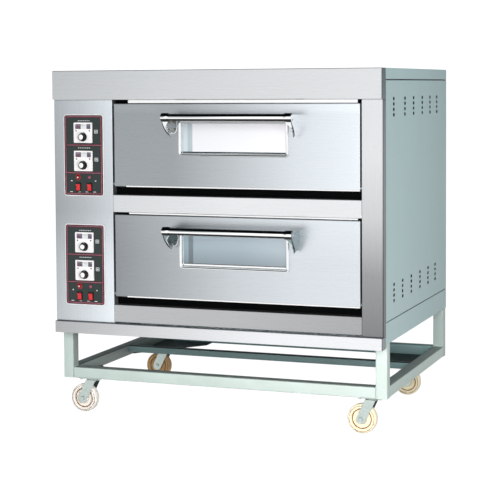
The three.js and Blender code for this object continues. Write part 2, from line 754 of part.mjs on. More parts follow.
// Two welded skins with a passage for the window, drain holes below and stub pins to swing on.
function doorShell(deck) {
  const z = [deck.bottom, deck.bottom + DOOR_HEIGHT];
  const room = [DOOR_X, DOOR_Y, z].map((span) => within(span, DOOR_SKIN));
  const skins = cut(box(DOOR_X, DOOR_Y, z), box(...room));
  const wall = passage(DOOR_SKIN, DOOR_Y, deck);
  const drains = DRAINS.map((dx) => {
    return rod("z", 4, deck.bottom - 1, deck.bottom + 4, DOOR_CENTRE_X + dx, PIVOT_Y, 8);
  });
  const pinZ = deck.bottom + PIVOT_UP;
  const pins = [
    rod("x", PIN_R, OPENING[0] - 8, DOOR_X[0] + 1, PIVOT_Y, pinZ),
    rod("x", PIN_R, DOOR_X[1] - 1, OPENING[1] + 8, PIVOT_Y, pinZ),
  ];
  return cut(join(skins, wall, ...pins), passage(0, beyond(DOOR_Y), deck), ...drains);
}

// A chromed rim on the door's face with a sleeve that lines the window passage.
function windowFrame(deck) {
  const place = windowPlace(deck);
  const face = -DOOR_PROUD - GAP;
  const width = WINDOW_WIDTH - 2 * WINDOW_RIM;
  const height = WINDOW_HEIGHT - 2 * WINDOW_RIM;
  const rimY = [face - FRAME_PROUD, face];
  const rim = roundedPlate(WINDOW_WIDTH, WINDOW_HEIGHT, WINDOW_CORNER, rimY, ...place);
  const sleeve = passage(-GAP, [face - 1, -3], deck);
  const holeY = beyond([face - FRAME_PROUD, -3]);
  const hole = roundedPlate(width, height, SLEEVE_CORNER - 1, holeY, ...place);
  return cut(join(rim, sleeve), hole);
}

function windowGlass(deck) {
  const [x, z] = windowPlace(deck);
  const width = WINDOW_WIDTH - 2 * WINDOW_RIM - 2 * GAP;
  const height = WINDOW_HEIGHT - 2 * WINDOW_RIM - 2 * GAP;
  const corner = SLEEVE_CORNER - 1 - GAP;
  return roundedPlate(width, height, corner, [-DOOR_PROUD + 6, -DOOR_PROUD + 11], x, z);
}

// A bracket seen from the side, drawn in by the given inset: it sweeps down from the bar's front
// to a tip on the door.
function bracketSide(inset) {
  const back = -DOOR_PROUD - GAP - inset;
  const front = HANDLE_Y - HANDLE_R + inset;
  const sweep = new THREE.QuadraticBezierCurve(
    new THREE.Vector2(front, -6),
    new THREE.Vector2(HANDLE_Y + 8 + inset, -38 + inset),
    new THREE.Vector2(back - BRACKET.tip, 2 * inset - BRACKET.drop),
  );
  const top = [[back, BRACKET.top - inset], [HANDLE_Y, BRACKET.top + 2 - inset], [front, 4]];
  const curve = sweep.getPoints(6).map((p) => [p.x, p.y]);
  return [...top, ...curve, [back, 2 * inset - BRACKET.drop + BRACKET.heel]];
}

// The bracket seen from the front: a shield that curves in to a rounded tip.
function bracketFront() {
  const half = BRACKET.width / 2;
  const low = -BRACKET.drop;
  const shape = new THREE.Shape();
  shape.moveTo(-half, 20);
  shape.lineTo(-half, low + 30);
  shape.bezierCurveTo(-half, low + 14, -half / 2, low, 0, low);
  shape.bezierCurveTo(half / 2, low, half, low + 14, half, low + 30);
  shape.lineTo(half, 20);
  return shape;
}

// A cast claw, hollow on the side that faces the window, with a socket for the bar.
function handleBracket(side, z) {
  const x = DOOR_CENTRE_X + HANDLE_SHIFT + side * BRACKET.x;
  const half = BRACKET.width / 2;
  const hollowX = [x - half - side * BRACKET.wall, x + half - side * BRACKET.wall];
  const body = extrudeX(bracketSide(0), around(x, half));
  const hollow = extrudeX(bracketSide(BRACKET.wall), hollowX);
  const outline = extrudeY(bracketFront(), [HANDLE_Y - 2 * HANDLE_R, 0], x, 0);
  const socket = rod("x", BRACKET.socket, x - half, x + half, HANDLE_Y, 0, 20);
  return join(cut(body, hollow).intersect(outline), socket).translate(0, 0, z);
}

// A chromed bar held at each end by a cast bracket.
function doorHandle(deck) {
  const z = deck.bottom + HANDLE_UP;
  const [left, right] = around(DOOR_CENTRE_X + HANDLE_SHIFT, HANDLE_LENGTH / 2);
  const bar = rod("x", HANDLE_R, left, right, HANDLE_Y, z, 20);
  return join(bar, handleBracket(-1, z), handleBracket(1, z));
}

for (const deck of decks) {
  addNode(`door_shell_${deck.name}`, doorShell(deck), brushedSteel);
  addNode(`window_frame_${deck.name}`, windowFrame(deck), chrome);
  addNode(`window_glass_${deck.name}`, windowGlass(deck), paleGlass);
  addNode(`door_handle_${deck.name}`, doorHandle(deck), chrome);
}

// The origin lies on the floor under the middle of the whole oven.
const FRONT_MOST = HANDLE_Y - BRACKET.socket;
const BACK_MOST = DEPTH + GLAND.out;
group.position.y = -(FRONT_MOST + BACK_MOST) / 2;

export default group;
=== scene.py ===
from math import atan2, copysign, cos, pi, radians, sin, sqrt

import bmesh
import bpy
from mathutils import Matrix, Vector


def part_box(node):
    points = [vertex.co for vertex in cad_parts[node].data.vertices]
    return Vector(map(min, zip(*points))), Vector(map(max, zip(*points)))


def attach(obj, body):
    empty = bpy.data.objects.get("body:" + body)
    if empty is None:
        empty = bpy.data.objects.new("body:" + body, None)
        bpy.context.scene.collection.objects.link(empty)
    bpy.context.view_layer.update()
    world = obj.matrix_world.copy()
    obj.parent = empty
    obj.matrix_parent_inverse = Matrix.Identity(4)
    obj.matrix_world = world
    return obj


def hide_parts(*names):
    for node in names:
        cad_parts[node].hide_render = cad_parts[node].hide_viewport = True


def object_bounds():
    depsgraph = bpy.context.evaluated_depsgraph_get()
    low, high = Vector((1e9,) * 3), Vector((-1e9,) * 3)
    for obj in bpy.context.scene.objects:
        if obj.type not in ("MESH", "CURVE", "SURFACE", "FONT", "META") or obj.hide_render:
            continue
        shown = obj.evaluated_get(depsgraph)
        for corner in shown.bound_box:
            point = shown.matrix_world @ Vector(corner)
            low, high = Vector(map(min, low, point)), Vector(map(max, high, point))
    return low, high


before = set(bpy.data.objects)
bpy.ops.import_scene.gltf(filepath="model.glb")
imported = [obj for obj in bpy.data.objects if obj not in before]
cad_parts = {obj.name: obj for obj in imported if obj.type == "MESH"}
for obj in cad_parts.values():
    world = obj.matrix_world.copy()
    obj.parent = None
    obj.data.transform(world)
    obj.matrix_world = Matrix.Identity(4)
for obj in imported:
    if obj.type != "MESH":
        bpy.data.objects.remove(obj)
cad_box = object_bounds()

show = bpy.context.scene.collection.objects.link
MM = 0.001
DECKS = ("upper", "lower")
ENDS = ("front", "rear")
SIDES = ("left", "right")
CORNERS = [(end, side) for end in ENDS for side in SIDES]
OVEN = "oven"


def mm(points):
    """Points given in millimetres, as metres."""
    return [tuple(c * MM for c in point) for point in points]


# ---- Camera and light ----
CAMERA_AT = (1.8941, -5.1091, 1.1825)
CAMERA_YAW = 0.3584
CAMERA_DIP = 0.0570
CAMERA_ROLL = -0.0062
CAMERA_LENS = 106.1
CAMERA_SENSOR = 36
CAMERA_SHIFT = -0.16
WHITE = (1, 1, 1)
BACKDROP_GLOW = 1.1
ROOM_GLOW = 1.35
ROOM_AHEAD = (0.35, -0.93, 0.08)
ROOM_SIDES = [(0.55, (0.26, 0.29, 0.30)), (0.85, WHITE)]
ROOM_HEIGHTS = [(0.30, WHITE), (0.62, (0.08, 0.08, 0.09))]
FLOOR_GLOW = 1.05
FLOOR_REACH = 80
# Name, place, what it is turned to, size, power and tint.
LIGHTS = (
    ("key", (2.2, -4.2, 1.9), (0.1, -0.3, 0.7), (2.2, 1.6), 85, WHITE),
    ("left", (-3.2, -3.6, 1.6), (-0.2, -0.3, 0.6), (2.0, 2.0), 30, WHITE),
    ("side", (4.2, 0.6, 1.9), (0.5, 0.1, 0.8), (2.2, 2.2), 22, WHITE),
    ("low_right", (0.85, -1.9, 0.35), (0.45, -0.3, 0.15), (0.5, 0.3), 19, (1, 0.87, 0.91)),
    ("overhead", (0, 0.2, 4.2), (0, 0, 0), (3, 3), 40, WHITE),
)


def camera():
    data = bpy.data.cameras.new("camera")
    data.lens = CAMERA_LENS
    data.sensor_width = CAMERA_SENSOR
    data.shift_y = CAMERA_SHIFT
    seen = bpy.data.objects.new("camera", data)
    turn = Matrix.Rotation(CAMERA_YAW, 4, "Z")
    turn = turn @ Matrix.Rotation(pi / 2 - CAMERA_DIP, 4, "X")
    turn = turn @ Matrix.Rotation(CAMERA_ROLL, 4, "Z")
    seen.matrix_world = Matrix.Translation(CAMERA_AT) @ turn
    show(seen)
    bpy.context.scene.camera = seen


def area_light(name, at, target, size, power, tint):
    data = bpy.data.lights.new(name, "AREA")
    data.shape = "RECTANGLE"
    data.size, data.size_y = size
    data.energy = power
    data.color = tint
    lamp = bpy.data.objects.new(name, data)
    lamp.location = at
    lamp.rotation_euler = (Vector(target) - Vector(at)).to_track_quat("-Z", "Y").to_euler()
    lamp.visible_glossy = False
    show(lamp)


def studio():
    """White for the camera; for the rest a room that is bright ahead and dark overhead."""
    world = bpy.data.worlds.new("studio")
    bpy.context.scene.world = world
    world.use_nodes = True
    tree = world.node_tree
    tree.nodes.clear()
    link = tree.links.new
    white = node(tree, "Background", Strength=BACKDROP_GLOW, Color=(*WHITE, 1))
    room = node(tree, "Background", Strength=ROOM_GLOW)
    way = node(tree, "TexCoord").outputs["Generated"]
    ahead = node(tree, "VectorMath")
    ahead.operation = "DOT_PRODUCT"
    ahead.inputs[1].default_value = ROOM_AHEAD
    up = node(tree, "SeparateXYZ")
    link(way, ahead.inputs[0])
    link(way, up.inputs[0])
    sides = ramp(tree, ahead.outputs["Value"], ROOM_SIDES)
    heights = ramp(tree, up.outputs["Z"], ROOM_HEIGHTS)
    link(times(tree, sides, heights), room.inputs["Color"])
    mix = choose(tree, "Is Camera Ray", room.outputs[0], white.outputs[0])
    link(mix, node(tree, "OutputWorld").inputs["Surface"])


# ---- Materials ----
CLOUD = (0.3, 0.7)
RELIEF_DEPTH = 0.2 * MM
LOOKS = {}


def linear(code):
    """A linear colour from a #rrggbb code."""
    parts = [int(code[i : i + 2], 16) / 255 for i in (1, 3, 5)]
    return [c / 12.92 if c <= 0.04045 else ((c + 0.055) / 1.055) ** 2.4 for c in parts]


def node(tree, kind, **values):
    made = tree.nodes.new(f"ShaderNode{kind}")
    for socket, value in values.items():
        made.inputs[socket.replace("_", " ")].default_value = value
    return made


def mapped_noise(tree, scale, detail):
    """A noise laid over the object; scale is its grain per metre, overall or by axis."""
    mapping = node(tree, "Mapping", Scale=scale if isinstance(scale, tuple) else (scale,) * 3)
    noise = node(tree, "TexNoise", Scale=1, Detail=detail)
    tree.links.new(node(tree, "TexCoord").outputs["Object"], mapping.inputs["Vector"])
    tree.links.new(mapping.outputs["Vector"], noise.inputs["Vector"])
    return noise.outputs["Fac"]


def remap(tree, value, start, end, low=0, high=1):
    change = node(tree, "MapRange", From_Min=start, From_Max=end, To_Min=low, To_Max=high)
    tree.links.new(value, change.inputs["Value"])
    return change.outputs["Result"]


def ramp(tree, value, places):
    band = node(tree, "ValToRGB")
    points = band.color_ramp.elements
    while len(points) < len(places):
        points.new(0.5)
    for point, (place, colour) in zip(points, places):
        point.position = place
        point.color = (*colour, 1)
    tree.links.new(value, band.inputs["Fac"])
    return band.outputs["Color"]


def along(tree, axis, span, places):
    """A colour that changes along one axis of the object."""
    split = node(tree, "SeparateXYZ")
    tree.links.new(node(tree, "TexCoord").outputs["Object"], split.inputs[0])
    return ramp(tree, remap(tree, split.outputs[axis.upper()], *span), places)


def times(tree, a, b):
    mix = node(tree, "Mix")
    mix.data_type = "RGBA"
    mix.blend_type = "MULTIPLY"
    mix.inputs[0].default_value = 1
    tree.links.new(a, mix.inputs[6])
    tree.links.new(b, mix.inputs[7])
    return mix.outputs[2]


def choose(tree, ray, otherwise, chosen):
    """One shader for one kind of ray and another for all the rest."""
    mix = node(tree, "MixShader")
    tree.links.new(node(tree, "LightPath").outputs[ray], mix.inputs["Fac"])
    tree.links.new(otherwise, mix.inputs[1])
    tree.links.new(chosen, mix.inputs[2])
    return mix.outputs[0]


def finish(name, code, roughness, metallic=0, tone=0.05, grain=60, swing=0.05, bump=0, pits=500,
           runs=(), **sockets):
    """Cloudy colour and roughness, fine relief, and painted light and shade that run along an axis.
    """
    made = LOOKS[name] = bpy.data.materials.new(name)
    made.use_nodes = True
    tree = made.node_tree
    shader = tree.nodes["Principled BSDF"]
    cloud = mapped_noise(tree, grain, 4)
    base = linear(code)
    levels = ([c * (1 - tone) for c in base], [min(1, c * (1 + tone)) for c in base])
    colour = ramp(tree, cloud, list(zip(CLOUD, levels)))
    for run in runs:
        colour = times(tree, colour, along(tree, *run))
    tree.links.new(colour, shader.inputs["Base Color"])
    rough = remap(tree, cloud, *CLOUD, max(0, roughness - swing), min(1, roughness + swing))
    tree.links.new(rough, shader.inputs["Roughness"])
    shader.inputs["Metallic"].default_value = metallic
    for socket, value in sockets.items():
        shader.inputs[socket.replace("_", " ")].default_value = value
    if bump:
        relief = node(tree, "Bump", Strength=bump, Distance=RELIEF_DEPTH)
        tree.links.new(mapped_noise(tree, pits, 2), relief.inputs["Height"])
        tree.links.new(relief.outputs["Normal"], shader.inputs["Normal"])
    return made


def light_and_shade_at(axis, span, *places):
    """Painted light and shade: grey levels at chosen places along a span."""
    return (axis, span, [(place, (level,) * 3) for place, level in places])


def light_and_shade_even(axis, span, *levels):
    """Painted light and shade: evenly spaced grey levels along a span."""
    last = len(levels) - 1
    return light_and_shade_at(axis, span, *((k / last, level) for k, level in enumerate(levels)))


# Several rows stand in for light: the darker tube paint, the near-black paint, the darker zinc, the
# shaded nylon, the brown groove rings, the darker cast, hollow and edge chromes, the near-black
# wool and, in part, the chamber metal are painted shade; the paler nylon, the brighter cast chrome
# and the pale lamp spot are painted light.
# Name, colour, roughness, metallic, tone, grain, swing of the roughness, relief and its pits.
FINISHES = """
tube_paint #c4d6ce .45 0 .04 14 .06 .25 900
shade_paint #7e9c9b .5 0 .06 14 .06 .25 900
dark_paint #1c2826 .55 0 .06 14 .06 .25 900
chrome #f2f4f6 .07 1 .02 30 .03
cast_chrome_upper #f4f5f7 .12 1 .03 60 .05 .1 300
cast_chrome_lower #8a9a9d .12 1 .03 60 .05 .1 300
hollow_chrome #8a9093 .25 1 .08 60 .05 .2 300
edge_chrome #2c3336 .15 1 .05 60 .05
zinc #c3d0cb .38 .75 .1 90 .1 .2 600
zinc_shade #39433f .45 .5 .1 90 .1 .2 600
nylon #fff3cf .38 0 .04 50 .06 .1 700
pale_nylon #fffaf0 .38 0 .03 50 .06 .1 700
dusty_nylon #cca776 .5 0 .08 50 .06 .1 700
groove_brown #7a5524 .5 0 .12 50 .06
white_plastic #fbfbfa .3 0 .015 60 .04
black_plastic #040505 .38 0 .2 80 .06 .2 900
red_plastic #d0141c .22 0 .06 90 .04
lamp_red #7c0d17 .12 0 .05 90 .03
lamp_pink #a8506a .2 0 .05 90 .03
lamp_glow #ffd6d0 .15 0 .02 90 .03
enamel #1c2a28 .34 0 .1 40 .06 .1 700
enamel_rim #eceeee .35 .3 .02 60 .04
screw_gold #8d8570 .25 .9 .15 90 .06
maroon #420e1c .4 0 .1 120 .05
pink_line #d08a9a .4 0 .06 120 .05
print_white #dfe4e4 .5 0 .04 200 .05
dial_dark #5d5668 .35 0 .15 150 .05
dial_pale #dfe6e4 .3 0 .03 150 .05
seal_grey #b9c6c8 .4 0 .05 90 .05
gasket_black #0b1010 .7 0 .1 90 .05
gland_plastic #2a2c2d .5 0 .1 90 .06
chamber_metal #020303 .8 0 .2 8 .1 .2 40
deck_metal #4a4541 .55 .6 .22 10 .12 .4 60
sheath_metal #3b3733 .5 .7 .2 60 .1
wool #0f0e0b .95 0 .25 60 .03 .8 300
"""
SHEENS = {
    "black_plastic": {"Specular_IOR_Level": 0.3},
    "gasket_black": {"Specular_IOR_Level": 0.2},
    "chamber_metal": {"Specular_IOR_Level": 0.1},
    "red_plastic": {"Coat_Weight": 0.4},
    "lamp_red": {"Coat_Weight": 0.6},
    "lamp_pink": {"Coat_Weight": 0.3},
}
for row in FINISHES.strip().splitlines():
    name, code, *facts = row.split()
    finish(name, code, *map(float, facts), **SHEENS.get(name, {}))
# The panel paint darkens towards the back: painted shade.
finish("panel_paint", "#bdd7d8", 0.5, 0, 0.03, (9, 9, 5), 0.05, 0.25, 900,
       [light_and_shade_even("y", (cad_box[0].y, cad_box[1].y), 1, 1, 0.94, 0.84)])

WIDTH = (cad_box[0].x, cad_box[1].x)
DOOR_X = (-0.371, 0.528)
COLUMN_X = (-0.61, -0.37)
COLUMN_Z = (0.35, 1.14)
COOL = "#f1f8ff"
END_SHADE = ("x", (WIDTH[1] - 6 * MM, WIDTH[1]),
             [(0, WHITE), (0.5, (0.9, 0.9, 0.9)), (0.75, (0.17, 0.20, 0.21))])
BRUSHED = {"x": (4, 260, 700), "z": (700, 260, 4)}


def steel(name, *runs, roughness=0.3, code="#f4f6f8", brushed="x"):
    """Stainless sheet, brushed along one axis, its runs painted light and shade."""
    fine = BRUSHED[brushed]
    finish(name, code, roughness, 0.92, 0.035, fine, 0.05, 0.12, fine, runs)


def door_steel(deck, across, *up):
    lo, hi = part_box(f"door_shell_{deck}")
    steel(f"door_steel_{deck}", light_and_shade_even("x", DOOR_X, *across), light_and_shade_at("z", (lo.z, hi.z), *up),
          code=COOL)


# Painted reflections and shade: each door brightens to the right and towards its top.
door_steel("upper", (0.44, 0.44, 0.64, 0.87, 1.0), (0, 0.93), (0.88, 0.93), (0.93, 1))
door_steel("lower", (0.365, 0.53, 0.735, 0.845, 0.87), (0, 0.90), (0.5, 0.90), (1, 1))
# Painted reflections and shade along the header, the columns and the strips, and painted shade on
# their right ends.
steel("header_steel", light_and_shade_even("x", WIDTH, 0.66, 0.755, 0.78, 0.79), END_SHADE)
steel("left_steel", light_and_shade_even("x", COLUMN_X, 0.58, 0.76, 1.0),
      light_and_shade_even("z", COLUMN_Z, 1.0, 0.94, 0.72, 0.82, 0.92), code=COOL, brushed="z")
steel("right_steel", light_and_shade_even("z", COLUMN_Z, 0.254, 0.36, 0.67, 0.81, 0.81), END_SHADE, brushed="z")
steel("middle_steel", light_and_shade_even("x", DOOR_X, 0.78, 0.89, 0.86))
steel("lower_steel", light_and_shade_even("x", DOOR_X, 0.55, 0.53, 0.44))
steel("fascia_steel", light_and_shade_even("x", WIDTH, 0.49, 0.74, 0.94, 0.93), END_SHADE)
steel("lip_steel", roughness=0.22, code="#ffffff")
steel("inner_steel", roughness=0.38, code="#b9bcc0")

PAINTED_REVEAL_BANDS = (0, 19 * MM, 21 * MM, 36 * MM, 39 * MM)


def glass(deck, edge, shade, code, light, levels):
    """A toughened pane with a pale film, its colour painted: bands at its left edge for the reveal
    seen through it, and tones across and up it for reflections and shade.
    """
    lo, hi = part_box(f"window_glass_{deck}")
    cuts = [*(cut / (hi.x - lo.x) for cut in PAINTED_REVEAL_BANDS), 0.55, 1]
    colours = [linear(c) for c in (edge, edge, shade, shade, code, code, light)]
    runs = [("x", (lo.x, hi.x), list(zip(cuts, colours))), light_and_shade_even("z", (lo.z, hi.z), *levels)]
    finish(f"glass_{deck}", "#ffffff", 0.06, 0, 0.012, 10, 0.02, runs=runs,
           Coat_Weight=1.0, Coat_Roughness=0.02)


glass("upper", "#c2d1d5", "#a9bbbf", "#e2e8ea", "#e8ecee", (1, 1))
glass("lower", "#9cb7c1", "#73868e", "#a7bdc6", "#b5c8d0", (0.42, 0.68, 1))

SOCKET_R = 15.5 * MM
BAR_R = 12.5 * MM


def bright_chrome(deck, sill, head):
    """Chrome for a bar, with painted reflection bands, dark above and below and bright in the
    middle, and for a window rim, painted darker at its sill and head.
    """
    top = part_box(f"door_handle_{deck}")[1].z - SOCKET_R + BAR_R
    run = light_and_shade_at("z", (top - 2 * BAR_R, top), (0, 0.1), (0.05, 0.03), (0.29, 0.03), (0.34, 1),
                (0.62, 1), (0.68, 0.05), (1, 0.02))
    finish(f"bar_chrome_{deck}", "#ffffff", 0.06, 1, 0.01, 30, 0.02, runs=[run])
    lo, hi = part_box(f"window_frame_{deck}")
    run = light_and_shade_at("z", (lo.z, hi.z), (0, sill), (0.07, sill), (0.10, 1), (0.90, 1), (0.93, head),
                (1, head))
    finish(f"rim_chrome_{deck}", "#f6f7f8", 0.10, 1, 0.02, 30, 0.03, runs=[run])


bright_chrome("upper", 0.62, 0.42)
bright_chrome("lower", 0.9, 0.42)


def floor_finish():
    """White to the eye and in reflections, and a dull grey for the light it throws back up."""
    made = finish("floor", "#6c6e70", 0.9, 0, 0.01, 2, 0.02)
    tree = made.node_tree
    glow = node(tree, "Emission", Strength=FLOOR_GLOW)
    dull = tree.nodes["Principled BSDF"]
    mix = choose(tree, "Is Diffuse Ray", glow.outputs[0], dull.outputs[0])
    tree.links.new(mix, tree.nodes["Material Output"].inputs["Surface"])
    return made


# ---- Mesh building ----
AXES = {
    "x": (Vector((0, 1, 0)), Vector((0, 0, 1)), Vector((1, 0, 0))),
    "y": (Vector((1, 0, 0)), Vector((0, 0, 1)), Vector((0, -1, 0))),
    "z": (Vector((1, 0, 0)), Vector((0, 1, 0)), Vector((0, 0, 1))),
}
SHEET = 1.2 * MM
WELD_RIPPLE = 1.6 * MM
# Everything drawn collects here until a piece takes it.
bm = bmesh.new()


def shell(rows, mat=0, closed=False, caps=False):
    """Quads between successive rings of points; a ring of one point is a pole."""
    made = [[bm.verts.new(p) for p in row] for row in rows]
    pairs = list(zip(made, made[1:]))
    if closed:
        pairs.append((made[-1], made[0]))
    for near, far in pairs:
        count = max(len(near), len(far))
        for k in range(count):
            corners = [near[k % len(near)], near[(k + 1) % len(near)],
                       far[(k + 1) % len(far)], far[k % len(far)]]
            unique = list(dict.fromkeys(corners))
            if len(unique) > 2:
                bm.faces.new(unique).material_index = mat
    if caps:
        for row in (made[0], made[-1]):
            bm.faces.new(row).material_index = mat


def lathe(profile, centre, axis="y", steps=48, mat=0, closed=False, wave=None):
    """A body turned about an axis, from (radius, height) points; y rises to the front."""
    u, v, w = AXES[axis]
    centre = Vector(centre)
    rows = []
    for radius, height in profile:
        if radius <= 0:
            rows.append([centre + w * height])
            continue
        row = []
        for k in range(steps):
            angle = 2 * pi * k / steps
            r = radius * (wave(k) if wave else 1)
            row.append(centre + w * height + (u * cos(angle) + v * sin(angle)) * r)
        rows.append(row)
    shell(rows, mat, closed)


def rounded(width, height, corner, centre=(0, 0), steps=6):
    """A rounded rectangle's outline as (a, b) points."""
    points = []
    for quarter, (sa, sb) in enumerate(((1, 1), (-1, 1), (-1, -1), (1, -1))):
        ca = centre[0] + sa * (width / 2 - corner)
        cb = centre[1] + sb * (height / 2 - corner)
        for k in range(steps + 1):
            angle = pi / 2 * (quarter + k / steps)
            points.append((ca + corner * cos(angle), cb + corner * sin(angle)))
    return points


def circle(radius, centre, steps):
    return [(centre[0] + radius * cos(2 * pi * k / steps),
             centre[1] + radius * sin(2 * pi * k / steps)) for k in range(steps)]


def facing(axis):
    """Maps (a, b, depth) to a point: a and b across an axis, depth along it."""
    return {
        "x": lambda a, b, d: (d, a, b),
        "y": lambda a, b, d: (a, d, b),
        "z": lambda a, b, d: (a, b, d),
    }[axis]


def prism(outline, axis, d0, d1, mat=0):
    put = facing(axis)
    shell([[put(a, b, d) for a, b in outline] for d in (d0, d1)], mat, caps=True)


def block(lo, hi, mat=0):
    outline = [(lo[0], lo[1]), (hi[0], lo[1]), (hi[0], hi[1]), (lo[0], hi[1])]
    prism(outline, "z", lo[2], hi[2], mat)


def slab(at, lo, hi, mat=0):
    """A block, its corners in millimetres from a point."""
    block(Vector(at) + Vector(lo) * MM, Vector(at) + Vector(hi) * MM, mat)


def collar(outer, inner, axis, d0, d1, mat=0):
    """A flat ring between two outlines with the same number of points."""
    put = facing(axis)
    sections = ((outer, d0), (outer, d1), (inner, d1), (inner, d0))
    shell([[put(a, b, d) for a, b in outline] for outline, d in sections], mat, closed=True)


def fill(outlines, axis, depth):
    """A flat face inside the first outline, with the others as holes in it."""
    put = facing(axis)
    loops = [[bm.verts.new(put(a, b, depth)) for a, b in outline] for outline in outlines]
    edges = [bm.edges.new((loop[k], loop[(k + 1) % len(loop)]))
             for loop in loops for k in range(len(loop))]
    bmesh.ops.triangle_fill(bm, use_beauty=True, edges=edges)
    return loops


def tube(path, radius, steps):
    """A tube along a path of points; radius may change along it."""
    rows = []
    for i, point in enumerate(path):
        ahead = path[min(i + 1, len(path) - 1)] - path[max(i - 1, 0)]
        turn = ahead.to_track_quat("Z", "Y")
        r = radius(i / (len(path) - 1)) if callable(radius) else radius
        rows.append([point + turn @ Vector((a, b, 0)) for a, b in circle(r, (0, 0), steps)])
    shell(rows, caps=True)


def weld(start, end, radius):
    """A fillet weld, its ripples a few millimetres apart."""
    start, end = Vector(start), Vector(end)
    count = max(6, int((end - start).length / WELD_RIPPLE))
    path = [start.lerp(end, i / count) for i in range(count + 1)]
    tube(path, lambda t: radius * (1 + 0.14 * cos(t * count * pi)), 8)


def screw(centre, radius, rise):
    """A round head with a socket in it; a negative rise turns it to the back."""
    profile = mm([(0, 0), (1, 0), (1, 0.4), (0.8, 0.85), (0.42, 1), (0.36, 0.45), (0, 0.4)])
    lathe([(r * radius, t * rise) for r, t in profile], centre, "y", 18)


def hexagon(centre, axis, across, low, high):
    """A nut or bolt head with a turned chamfer at its high end."""
    r = across / sqrt(3)
    edge = high - copysign(0.072 * across, high - low)
    lathe(mm([(0, low), (r, low), (r, edge), (r * 0.88, high), (0, high)]), centre, axis, 6)


def piece(name, body, looks, slot, stands_for=(), bevel=0, steps=3, sheet=0, angle=30,
          within=None):
    """Makes an object of what was drawn, with thickness and rounded edges, riding a body."""
    if not sheet:
        bmesh.ops.recalc_face_normals(bm, faces=bm.faces)
    mesh = bpy.data.meshes.new(name)
    bm.to_mesh(mesh)
    bm.clear()
    for look in looks if isinstance(looks, tuple) else (looks,):
        mesh.materials.append(LOOKS[look])
    made = bpy.data.objects.new(name, mesh)
    show(made)
    if sheet:
        fold = made.modifiers.new("sheet", "SOLIDIFY")
        fold.thickness = sheet
        fold.offset = -1
        fold.use_even_offset = True
    if bevel:
        edges = made.modifiers.new("edges", "BEVEL")
        edges.width = bevel * MM
        edges.segments = steps
        edges.limit_method = "ANGLE"
        edges.angle_limit = radians(40)
    if made.modifiers:
        seen = made.evaluated_get(bpy.context.evaluated_depsgraph_get())
        flat = bpy.data.meshes.new_from_object(seen)
        made.modifiers.clear()
        made.data = flat
        bpy.data.meshes.remove(mesh)
    if within:
        for v in made.data.vertices:
            v.co = [min(max(c, low), high) for c, low, high in zip(v.co, *within)]
    made.data.shade_smooth()
    made.data.set_sharp_from_angle(angle=radians(60 if bevel or sheet else angle))
    if bevel or sheet:
        even = made.modifiers.new("normals", "WEIGHTED_NORMAL")
        even.keep_sharp = True
    if stands_for:
        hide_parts(*stands_for)
    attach(made, body)


def tray(name, box, opens, body, look, slot, stands_for=(), holes=(), radius=2 * MM):
    """A folded sheet tray with rounded bends and holes in its face."""
    lo, hi = box
    axis, way = opens
    index = "xyz".index(axis)
    a0, b0 = [lo[i] for i in range(3) if i != index]
    a1, b1 = [hi[i] for i in range(3) if i != index]
    face, rim = (lo[index], hi[index]) if way == "+" else (hi[index], lo[index])
    put = facing(axis)
    corners = [(a0, b0), (a1, b0), (a1, b1), (a0, b1)]
    front = [bm.verts.new(put(a, b, face)) for a, b in corners]
    rear = [bm.verts.new(put(a, b, rim)) for a, b in corners]
    sides = [(k, (k + 1) % 4) for k in range(4)]
    if holes:
        inset = 3 * radius
        inner = [(a0 + inset, b0 + inset), (a1 - inset, b0 + inset),
                 (a1 - inset, b1 - inset), (a0 + inset, b1 - inset)]
        loop = fill([inner, *holes], axis, face)[0]
        for k, j in sides:
            bm.faces.new((front[k], front[j], loop[j], loop[k]))
    else:
        bm.faces.new(front)
    for k, j in sides:
        bm.faces.new((front[k], front[j], rear[j], rear[k]))
    bends = [e for e in bm.edges
             if any(v in front for v in e.verts) and all(v in front + rear for v in e.verts)]
    bmesh.ops.bevel(bm, geom=bends, offset=radius, segments=4, profile=0.5, affect="EDGES")
    middle = Vector(put((a0 + a1) / 2, (b0 + b1) / 2, (face + rim) / 2))
    bm.normal_update()
    wrong = [f for f in bm.faces if f.normal.dot(f.calc_center_median() - middle) < 0]
    bmesh.ops.reverse_faces(bm, faces=wrong)
    piece(name, body, look, slot, stands_for, sheet=SHEET, within=box)


def repaint(look, name):
    """A CAD node that shows as it is gets a finish of its own."""
    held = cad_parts[name]
    if held.material_slots:
        for place in held.material_slots:
            place.material = LOOKS[look]
    else:
        held.data.materials.append(LOOKS[look])


# ---- Stand ----
TUBE = 40 * MM
TUBE_WALL = 2 * MM
TUBE_R = 3.5 * MM
TUBE_COLOUR = "#c4d6ce"
# Painted shade: the rear posts, the rear rail and the cross rail are painted darker than the front
# tubes, for the shade under the oven.
REAR_POST_SHADED_COLOUR = "#b0c3bd"
CROSS_RAIL_SHADED_COLOUR = "#7e9c9b"
JOINT_GAP = 0.3 * MM
WELD_R = 1.6 * MM
# Reach along the rail, reach along the side, and the square part of the outer edge.
CORNER_PLATES = {"front": (155 * MM, 190 * MM, 2 * MM), "rear": (207 * MM, 320 * MM, 58 * MM)}
PLATE_THICK = 4 * MM


def square_tube(name, lo, hi, axis, look, stands_for):
    index = "xyz".index(axis)
    (a0, a1), (b0, b1) = [(lo[i], hi[i]) for i in range(3) if i != index]
    centre = ((a0 + a1) / 2, (b0 + b1) / 2)
    outer = rounded(a1 - a0, b1 - b0, TUBE_R, centre, 4)
    inner = rounded(a1 - a0 - 2 * TUBE_WALL, b1 - b0 - 2 * TUBE_WALL, TUBE_R - TUBE_WALL,
                    centre, 4)
    collar(outer, inner, axis, lo[index], hi[index])
    piece(name, OVEN, look, "painted_tube", [stands_for], angle=40)


